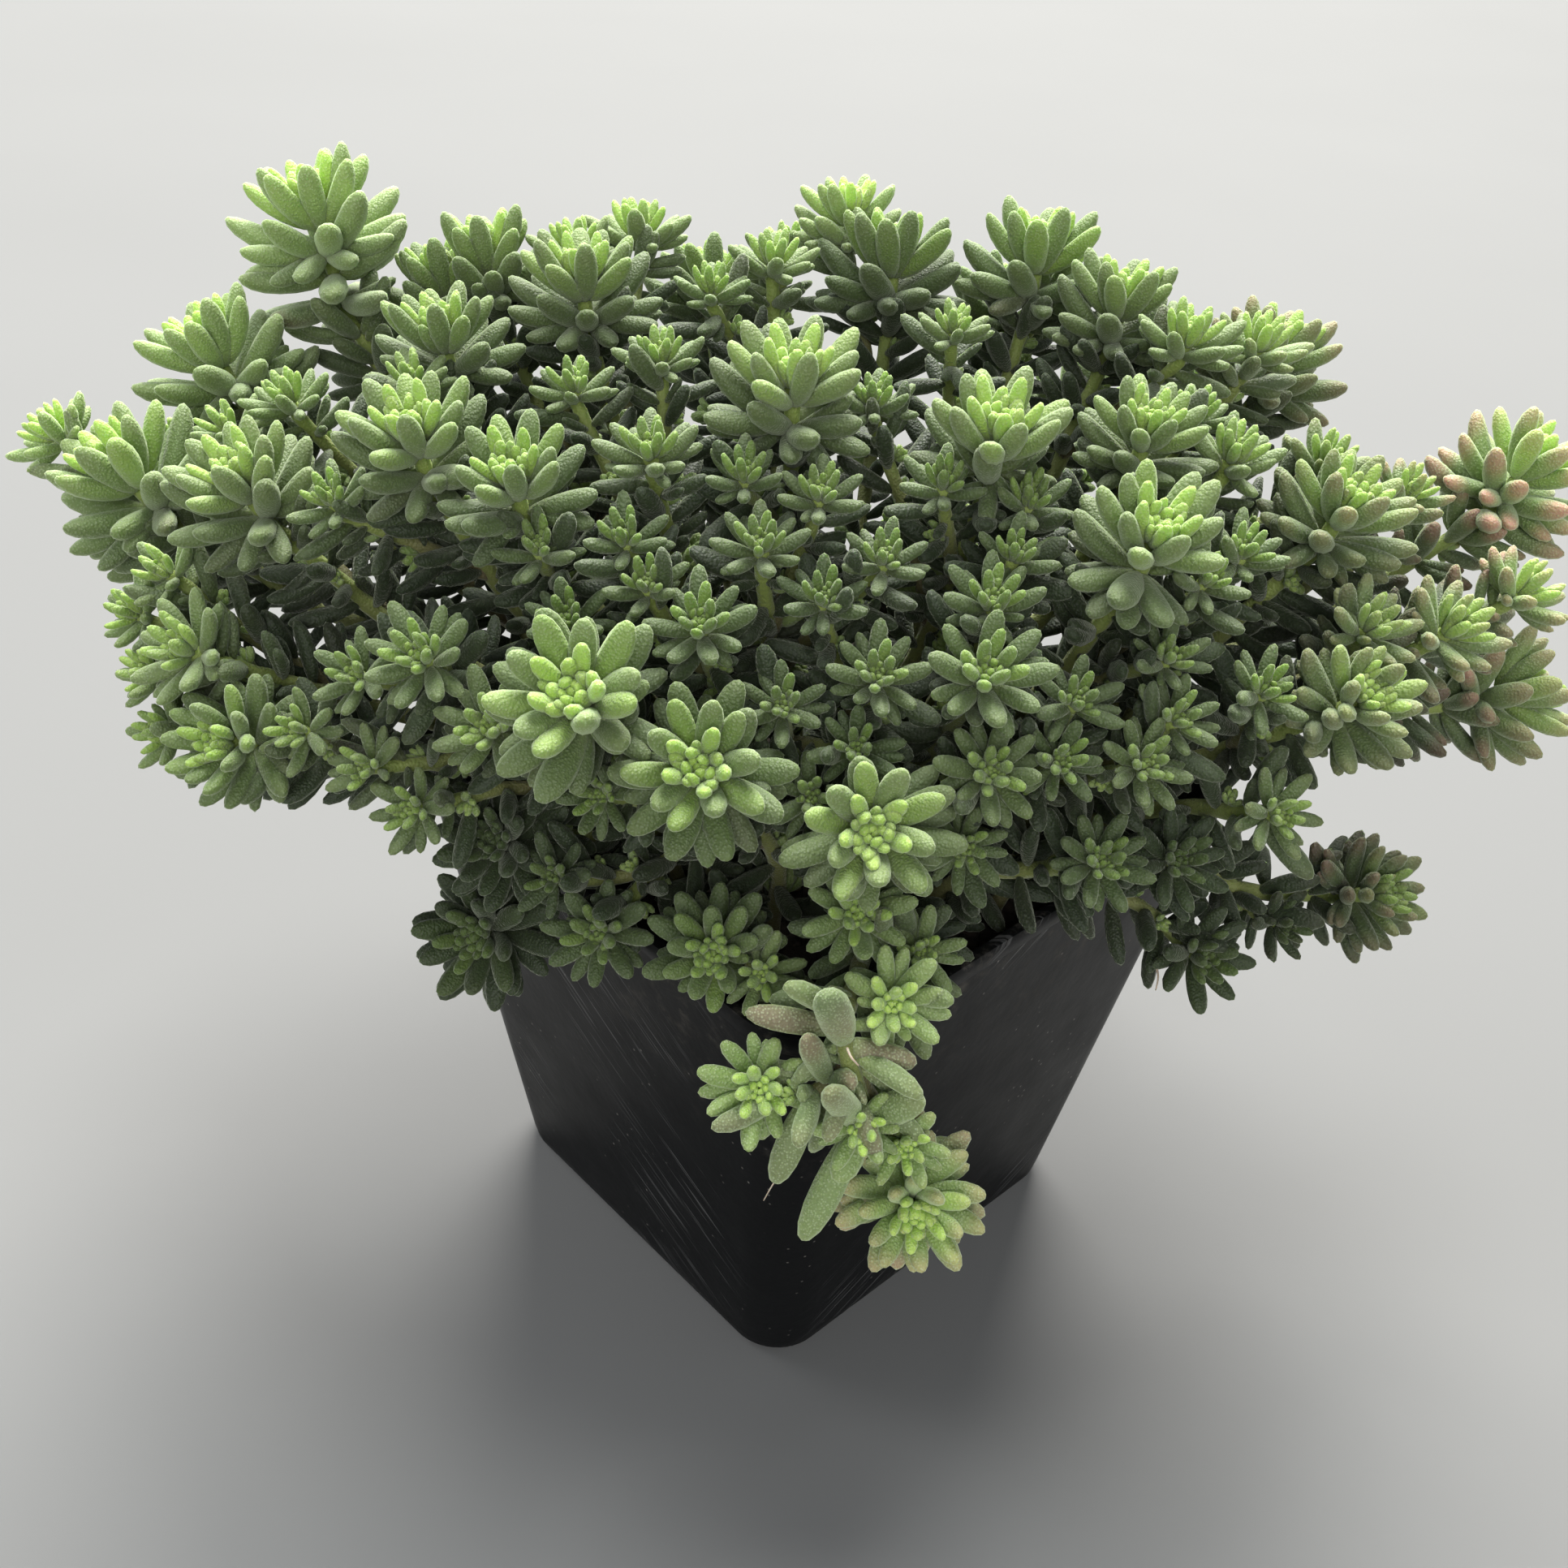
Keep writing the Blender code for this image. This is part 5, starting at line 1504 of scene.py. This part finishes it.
def make_soil(surface, rng):
    """Crumbly soil: a lumpy top on a plain block, with crumbs pressed into it."""
    margin = WALL + GAP
    half = wall_half(SOIL_TOP) - margin
    bm = bmesh.new()
    bmesh.ops.create_grid(bm, x_segments=SOIL_CUTS, y_segments=SOIL_CUTS, size=half)
    corner = wall_corner(SOIL_TOP) - margin
    for vert in bm.verts:
        x, y = vert.co.x, vert.co.y
        over_x = max(abs(x) - (half - corner), 0.0)
        over_y = max(abs(y) - (half - corner), 0.0)
        if over_x > 0 and over_y > 0:
            square = max(over_x, over_y)
            pull = square / math.hypot(over_x, over_y)
            x = math.copysign(half - corner + over_x * pull, x)
            y = math.copysign(half - corner + over_y * pull, y)
        vert.co = (x, y, soil_height(x, y) + SOIL_LUMP * fine_lumps(x, y))
    rim = [edge for edge in bm.edges if edge.is_boundary]
    made = bmesh.ops.extrude_edge_only(bm, edges=rim)["geom"]
    low = [part for part in made if isinstance(part, bmesh.types.BMVert)]
    share = (wall_half(FLOOR) - margin) / half
    for vert in low:
        vert.co = (vert.co.x * share, vert.co.y * share, FLOOR + GAP)
    bmesh.ops.holes_fill(bm, edges=bm.edges)
    for number in range(CRUMBS):
        add_stone(bm, rng, half - CRUMB_EDGE, rng.uniform(*CRUMB_SIZE), 1)
    bmesh.ops.recalc_face_normals(bm, faces=bm.faces)
    soil = piece("potting_soil", bm, surface)
    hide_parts("soil")
    return soil


def fine_lumps(x, y):
    """Small unevenness of the soil, from waves that run askew to each other."""
    bent, across, slanting, along = FINE_WAVES
    lumps = LUMP_HEIGHT * math.sin(bent * x + 3 * math.sin(across * y)) * math.cos(along * y)
    return lumps + SLANTING_HEIGHT * math.sin(slanting * (3 * y + 2 * x))


def add_stone(bm, rng, half, size, fineness):
    """A rough rounded stone somewhere on the soil, half pressed in."""
    x, y = rng.uniform(-half, half, 2)
    place = Vector((x, y, soil_height(x, y) + size * rng.uniform(*STONE_RISE)))
    wide = size * rng.uniform(*STONE_WIDTHS)
    deep = size * rng.uniform(*STONE_WIDTHS)
    shape = Matrix.Diagonal((wide, deep, size * STONE_FLATNESS, 1.0))
    turn = Matrix.Rotation(rng.uniform(0, 2 * math.pi), 4, "Z")
    lean = Matrix.Rotation(rng.uniform(-STONE_LEAN, STONE_LEAN), 4, "X")
    matrix = Matrix.Translation(place) @ turn @ lean @ shape
    made = bmesh.ops.create_icosphere(bm, subdivisions=fineness, radius=1.0, matrix=matrix)
    for vert in made["verts"]:
        vert.co += (vert.co - place) * rng.uniform(-STONE_ROUGHNESS, STONE_ROUGHNESS)


def make_grit(surface, rng):
    """Pale bits of grit and perlite that lie on the soil."""
    bm = bmesh.new()
    half = wall_half(SOIL_TOP) - WALL - GRIT_EDGE
    for number in range(GRIT):
        add_stone(bm, rng, half, rng.uniform(*GRIT_SIZE), 2)
    bmesh.ops.recalc_face_normals(bm, faces=bm.faces)
    return piece("grit", bm, surface)


def make_roots(surface):
    """Thin pale threads of aerial root."""
    bm = bmesh.new()
    for row in ROOTS:
        mesh = thread_mesh(smooth_path([tip_place(tip)[0] for tip in row]))
        bm.from_mesh(mesh)
        bpy.data.meshes.remove(mesh)
    return piece("aerial_roots", bm, surface)


def thread_mesh(places):
    """One thread that thins out along its places."""
    bm = bmesh.new()
    across = SIDE
    face = None
    for number, place in enumerate(places):
        along = unit(places[min(number + 1, len(places) - 1)] - places[max(number - 1, 0)])
        across = unit(across - along * (across @ along))
        radius = ROOT_RADIUS * (1 - ROOT_THINNING * number / len(places))
        ring = ring_about(place, along, across, radius, 0.0, ROOT_SIDES)
        face = start_tower(bm, ring) if face is None else raise_tower(bm, face, ring)[0]
    close_foot(bm)
    mesh = bpy.data.meshes.new("thread")
    bm.to_mesh(mesh)
    bm.free()
    return mesh


# Surfaces


class Surface:
    """A Principled material with helpers that add and link nodes."""

    def __init__(self, name, roughness, **sockets):
        self.material = bpy.data.materials.new(name)
        self.material.use_nodes = True
        self.tree = self.material.node_tree
        self.shader = self.tree.nodes["Principled BSDF"]
        self.shader.inputs["Roughness"].default_value = roughness
        for socket, value in sockets.items():
            self.shader.inputs[socket.replace("_", " ")].default_value = value

    def add(self, kind, **settings):
        """A new node with its settings."""
        made = self.tree.nodes.new(kind)
        for key, value in settings.items():
            setattr(made, key, value)
        return made

    def link(self, source, target):
        self.tree.links.new(source, target)

    def value(self, name):
        return self.add("ShaderNodeAttribute", attribute_name=name).outputs["Fac"]

    def place(self):
        return self.add("ShaderNodeTexCoord").outputs["Object"]

    def math(self, operation, first, second=None, clamp=False):
        made = self.add("ShaderNodeMath", operation=operation, use_clamp=clamp)
        for socket, value in zip(made.inputs, (first, second)):
            if value is None:
                continue
            if isinstance(value, (int, float)):
                socket.default_value = value
            else:
                self.link(value, socket)
        return made.outputs[0]

    def between(self, value, low, high):
        """Share of the way from low to high, smoothed, no less than 0 and no more than 1."""
        made = self.add("ShaderNodeMapRange", interpolation_type="SMOOTHSTEP")
        self.link(value, made.inputs["Value"])
        made.inputs["From Min"].default_value = low
        made.inputs["From Max"].default_value = high
        return made.outputs["Result"]

    def mix(self, share, first, second):
        made = self.add("ShaderNodeMix", data_type="RGBA")
        for socket, value in ((0, share), (6, first), (7, second)):
            if isinstance(value, (int, float)):
                made.inputs[socket].default_value = value
            elif isinstance(value, tuple):
                made.inputs[socket].default_value = (*value, 1.0)
            else:
                self.link(value, made.inputs[socket])
        return made.outputs[2]

    def noise(self, scale, detail=2.0, roughness=0.5, place=None):
        made = self.add("ShaderNodeTexNoise")
        self.link(place or self.place(), made.inputs["Vector"])
        made.inputs["Scale"].default_value = scale
        made.inputs["Detail"].default_value = detail
        made.inputs["Roughness"].default_value = roughness
        return made.outputs["Fac"]

    def specks(self, scale, spread):
        """Round specks a little apart: a mask and a height."""
        made = self.add("ShaderNodeGroup")
        made.node_tree = speck_group()
        self.link(self.place(), made.inputs["Place"])
        made.inputs["Scale"].default_value = scale
        made.inputs["Spread"].default_value = spread
        return made.outputs["Mask"], made.outputs["Height"]

    def color(self, value):
        self.link(value, self.shader.inputs["Base Color"])

    def roughness(self, value):
        self.link(value, self.shader.inputs["Roughness"])

    def bump(self, height, distance, strength=1.0):
        made = self.add("ShaderNodeBump")
        made.inputs["Distance"].default_value = distance
        made.inputs["Strength"].default_value = strength
        self.link(height, made.inputs["Height"])
        self.link(made.outputs["Normal"], self.shader.inputs["Normal"])


def speck_group():
    """Node group of round specks scattered over a surface, built once."""
    known = bpy.data.node_groups.get("specks")
    if known:
        return known
    group = bpy.data.node_groups.new("specks", "ShaderNodeTree")
    face = group.interface
    face.new_socket("Place", in_out="INPUT", socket_type="NodeSocketVector")
    face.new_socket("Scale", in_out="INPUT", socket_type="NodeSocketFloat")
    face.new_socket("Spread", in_out="INPUT", socket_type="NodeSocketFloat")
    face.new_socket("Mask", in_out="OUTPUT", socket_type="NodeSocketFloat")
    face.new_socket("Height", in_out="OUTPUT", socket_type="NodeSocketFloat")
    entry = group.nodes.new("NodeGroupInput")
    leave = group.nodes.new("NodeGroupOutput")
    cells = group.nodes.new("ShaderNodeTexVoronoi")
    spread = group.nodes.new("ShaderNodeMapRange")
    height = group.nodes.new("ShaderNodeMath")
    height.operation = "SUBTRACT"
    height.inputs[0].default_value = 1.0
    spread.interpolation_type = "SMOOTHSTEP"
    spread.inputs["To Min"].default_value = 1.0
    spread.inputs["To Max"].default_value = 0.0
    links = group.links
    links.new(entry.outputs["Place"], cells.inputs["Vector"])
    links.new(entry.outputs["Scale"], cells.inputs["Scale"])
    links.new(cells.outputs["Distance"], spread.inputs["Value"])
    links.new(entry.outputs["Spread"], spread.inputs["From Max"])
    links.new(cells.outputs["Distance"], height.inputs[1])
    links.new(spread.outputs["Result"], leave.inputs["Mask"])
    links.new(height.outputs[0], leave.inputs["Height"])
    return group


def leaf_surface():
    """Velvety leaf skin, by age from yellow-green bud to blue-green old leaf, with rosy tips, a
    painted rim highlight and painted shade deep in the clump.
    """
    skin = Surface(
        "leaf_green",
        0.62,
        Subsurface_Weight=0.30,
        Subsurface_Radius=(0.7, 1.0, 0.3),
        Subsurface_Scale=0.0018,
        Sheen_Weight=0.28,
        Sheen_Roughness=0.38,
        Sheen_Tint=(0.95, 1.0, 0.82, 1.0),
    )
    names = ("tip", "age", "tone", "blush", "deep")
    tip, age, tone, blushed, deep = (skin.value(name) for name in names)
    young = skin.mix(tone, (0.36, 0.56, 0.09), (0.49, 0.69, 0.16))
    grown = skin.mix(tone, (0.19, 0.285, 0.085), (0.31, 0.41, 0.15))
    old = skin.mix(tone, (0.12, 0.175, 0.07), (0.21, 0.28, 0.12))
    color = skin.mix(skin.between(age, 0.10, 0.50), young, grown)
    color = skin.mix(skin.between(age, 0.60, 1.05), color, old)
    base = skin.between(tip, 0.42, 0.02)
    color = skin.mix(skin.math("MULTIPLY", base, 0.35), color, (0.33, 0.42, 0.10))
    patch = skin.between(skin.noise(55.0, 3.0), 0.44, 0.66)
    rosy = skin.math("MULTIPLY", skin.between(tip, 0.60, 1.0), skin.between(age, 0.12, 0.4))
    rosy = skin.math("MULTIPLY", rosy, skin.math("MULTIPLY", blushed, blushed))
    share = skin.math("ADD", skin.math("MULTIPLY", patch, 0.55), 0.40)
    color = skin.mix(skin.math("MULTIPLY", rosy, share), color, (0.60, 0.32, 0.24))
    dusk = skin.between(skin.noise(90.0), 0.42, 0.60)
    dusk = skin.math("MULTIPLY", skin.between(age, 0.80, 1.15), dusk)
    color = skin.mix(skin.math("MULTIPLY", dusk, 0.55), color, (0.26, 0.150, 0.120))
    mask, height = skin.specks(4000.0, 0.55)
    color = skin.mix(skin.math("MULTIPLY", mask, 0.40), color, (0.66, 0.78, 0.50))
    # Painted highlight: the colour turns paler where a leaf is seen edge-on, a painted rim sheen
    rim = skin.add("ShaderNodeLayerWeight")
    rim.inputs["Blend"].default_value = 0.5
    rim = skin.between(rim.outputs["Facing"], 0.35, 1.0)
    color = skin.mix(skin.math("MULTIPLY", rim, 0.62), color, (0.60, 0.74, 0.42))
    stem = skin.mix(age, (0.25, 0.33, 0.075), (0.13, 0.10, 0.055))
    color = skin.mix(skin.between(tip, -0.2, -0.6), color, stem)
    # Painted shade: leaves deep in the clump are darkened almost to black
    color = skin.mix(skin.math("MULTIPLY", deep, 0.93), color, (0.012, 0.022, 0.008))
    skin.color(color)
    skin.bump(height, 0.00011, 0.9)
    return skin.material


def pot_surface():
    """Black plastic, dusty by the rim, with fine slanting scratches."""
    plastic = Surface("pot_black", 0.42, Specular_IOR_Level=0.09)
    place = plastic.place()
    across = plastic.add("ShaderNodeSeparateXYZ")
    plastic.link(place, across.inputs[0])
    slant = plastic.add("ShaderNodeMapping")
    slant.vector_type = "TEXTURE"
    slant.inputs["Rotation"].default_value = SCRATCH_SLANT
    slant.inputs["Scale"].default_value = SCRATCH_GRAIN
    plastic.link(place, slant.inputs["Vector"])
    scratch = plastic.between(plastic.noise(1.0, 3.0, 0.6, slant.outputs["Vector"]), 0.57, 0.66)
    area = plastic.between(plastic.noise(45.0, 2.0), 0.47, 0.62)
    scratch = plastic.math("MULTIPLY", scratch, area)
    sides = [plastic.math("ABSOLUTE", across.outputs[axis]) for axis in ("X", "Y")]
    flat = plastic.between(plastic.math("MINIMUM", *sides), *SCRATCH_FADE)
    scratch = plastic.math("MULTIPLY", scratch, flat)
    high = plastic.between(across.outputs["Z"], 0.030, 0.057)
    dust = plastic.between(plastic.noise(420.0, 5.0, 0.7), 0.50, 0.78)
    dust = plastic.math("MULTIPLY", dust, high)
    specks, height = plastic.specks(750.0, 0.16)
    specks = plastic.math("MULTIPLY", specks, plastic.between(plastic.noise(130.0), 0.5, 0.62))
    color = plastic.mix(plastic.noise(30.0, 4.0), (0.0036, 0.0038, 0.0041), (0.008, 0.0083, 0.0088))
    color = plastic.mix(plastic.math("MULTIPLY", dust, 0.42), color, (0.17, 0.155, 0.135))
    color = plastic.mix(plastic.math("MULTIPLY", scratch, 0.65), color, (0.12, 0.12, 0.12))
    color = plastic.mix(plastic.math("MULTIPLY", specks, 0.55), color, (0.35, 0.33, 0.30))
    plastic.color(color)
    rough = plastic.math("MULTIPLY_ADD", plastic.noise(160.0, 3.0), 0.22)
    rough.node.inputs[2].default_value = 0.28
    plastic.roughness(plastic.math("ADD", rough, plastic.math("MULTIPLY", dust, 0.25), clamp=True))
    grain = plastic.math("ADD", plastic.noise(900.0, 2.0), plastic.math("MULTIPLY", scratch, -1.0))
    plastic.bump(grain, 0.00006, 0.35)
    return plastic.material


def soil_surface():
    """Dark crumbly potting mix."""
    earth = Surface("soil_dark", 0.95)
    color = earth.mix(earth.noise(260.0, 5.0, 0.7), (0.014, 0.011, 0.009), (0.085, 0.066, 0.050))
    mask, height = earth.specks(900.0, 0.22)
    mask = earth.math("MULTIPLY", mask, earth.between(earth.noise(200.0), 0.5, 0.6))
    color = earth.mix(earth.math("MULTIPLY", mask, 0.7), color, (0.20, 0.16, 0.12))
    earth.color(color)
    earth.bump(earth.noise(1500.0, 6.0, 0.75), 0.0005, 0.8)
    return earth.material


def grit_surface():
    """Rough pale stone."""
    stone = Surface("grit_grey", 0.85)
    color = stone.mix(stone.noise(150.0, 3.0), (0.10, 0.085, 0.07), (0.32, 0.29, 0.25))
    stone.color(color)
    stone.bump(stone.noise(2500.0, 5.0, 0.7), 0.0002, 0.6)
    return stone.material


def root_surface():
    """Thin straw-coloured root."""
    thread = Surface("root_pale", 0.6, Subsurface_Weight=0.2, Subsurface_Scale=0.0005)
    thread.color(thread.mix(thread.noise(900.0), (0.42, 0.33, 0.24), (0.66, 0.58, 0.46)))
    return thread.material


# Stage, light and camera


def make_stage():
    """A plain pale floor."""
    paper = Surface("floor_paper", 0.9)
    paper.color(paper.mix(paper.noise(8.0), (0.18, 0.18, 0.178), (0.195, 0.195, 0.193)))
    bm = bmesh.new()
    bmesh.ops.create_grid(bm, x_segments=8, y_segments=8, size=FLOOR_SIZE)
    mesh = bpy.data.meshes.new("floor")
    bm.to_mesh(mesh)
    bm.free()
    mesh.materials.append(paper.material)
    floor = bpy.data.objects.new("floor", mesh)
    bpy.context.scene.collection.objects.link(floor)
    floor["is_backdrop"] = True


def make_light(light):
    """A soft round lamp that faces the middle of the clump."""
    lamp = bpy.data.lights.new(light.name, "AREA")
    lamp.shape = "DISK"
    lamp.size = light.size
    lamp.energy = light.power
    lamp.color = light.color
    made = bpy.data.objects.new(light.name, lamp)
    bpy.context.scene.collection.objects.link(made)
    place = np.array(light.place)
    made.matrix_world = look_matrix(place, unit(np.array(LIT_MIDDLE) - place))


def look_matrix(place, forward, roll=0.0):
    """Matrix that looks along a direction, as a camera and a lamp do."""
    right = unit(np.cross(forward, UP))
    up = np.cross(right, forward)
    turned_right = math.cos(roll) * right + math.sin(roll) * up
    turned_up = math.cos(roll) * up - math.sin(roll) * right
    matrix = Matrix.Identity(4)
    for number, column in enumerate((turned_right, turned_up, -forward, place)):
        for row in range(3):
            matrix[row][number] = column[row]
    return matrix


def make_lights():
    """Pale sky all round and a few soft lamps, the strongest behind and above the plant."""
    world = bpy.data.worlds.new("daylight")
    world.use_nodes = True
    sky = world.node_tree.nodes["Background"]
    sky.inputs["Color"].default_value = SKY_COLOR
    sky.inputs["Strength"].default_value = SKY_STRENGTH
    bpy.context.scene.world = world
    for light in LIGHTS:
        make_light(light)


def make_camera():
    """The camera where the clump was seen from."""
    lens = bpy.data.cameras.new("camera")
    lens.sensor_width = SENSOR_WIDTH
    lens.lens = SENSOR_WIDTH * LENS / (2 * PICTURE_MIDDLE)
    lens.clip_start, lens.clip_end = CLIPPING
    camera = bpy.data.objects.new("camera", lens)
    bpy.context.scene.collection.objects.link(camera)
    forward = np.array(
        (
            -math.sin(CAMERA_AZIMUTH) * math.cos(CAMERA_TILT),
            math.cos(CAMERA_AZIMUTH) * math.cos(CAMERA_TILT),
            -math.sin(CAMERA_TILT),
        )
    )
    camera.matrix_world = look_matrix(CAMERA_PLACE, forward, CAMERA_ROLL)
    bpy.context.scene.camera = camera
    bpy.context.scene.view_settings.view_transform = "Standard"


def dress(stems, crowd):
    """All leaves of each stem's shoots, the solids' own first so that they keep their room."""
    rng = np.random.default_rng(SEED + 1)
    shoots = [shoot for name, row in stems for shoot in row]
    tones = {shoot.index: rng.uniform(*CROWN_TONES) for shoot in shoots}
    leaves = {shoot.index: solid_leaves(shoot, tones[shoot.index], rng) for shoot in shoots}
    hanging = dict(stems)[HANGING_STEM]
    leaves[hanging[0].index] += old_leaves(hanging, crowd, rng)
    for shoot in shoots:
        leaves[shoot.index] += heart(shoot, tones[shoot.index], rng)
    for shoot in shoots:
        leaves[shoot.index] += fill_rows(shoot, tones[shoot.index], crowd, rng)
    for shoot in shoots:
        leaves[shoot.index] += tufts(shoot, SPROUTS, tones[shoot.index], crowd, rng)
    rear_rng = np.random.default_rng(SEED + 3)
    for name, row in stems:
        for shoot in row:
            if name.startswith(REAR_STEMS):
                leaves[shoot.index] += tufts(shoot, REAR_TUFTS, tones[shoot.index], crowd, rear_rng)
    for shoot in shoots:
        leaves[shoot.index] += stem_leaves(shoot, tones[shoot.index], crowd, rng)
    return leaves


def main():
    """Builds every piece, then the floor, the lights and the camera."""
    stems = all_shoots()
    crowd = Crowd(SCENE_CROWD)
    place_stems(stems, crowd)
    plan_leaves(stems, crowd)
    leaves = dress(stems, crowd)
    forms = leaf_forms()
    skin = leaf_surface()
    for name, shoots in stems:
        own = [leaf for shoot in shoots for leaf in leaves[shoot.index]]
        leafy = leafy_piece(name.replace("stem", "leafy_stem"), shoots, own, forms, skin)
        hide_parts(name)
    make_pot(pot_surface())
    rng = np.random.default_rng(SEED + 2)
    make_soil(soil_surface(), rng)
    make_grit(grit_surface(), rng)
    make_roots(root_surface())
    make_stage()
    make_lights()
    make_camera()
    meshes = [shown.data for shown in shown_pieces()]
    total = sum(len(mesh.loops) - 2 * len(mesh.polygons) for mesh in meshes)
    print("leaves", sum(len(own) for own in leaves.values()), "triangles", total, "balls", crowd.count)


main()
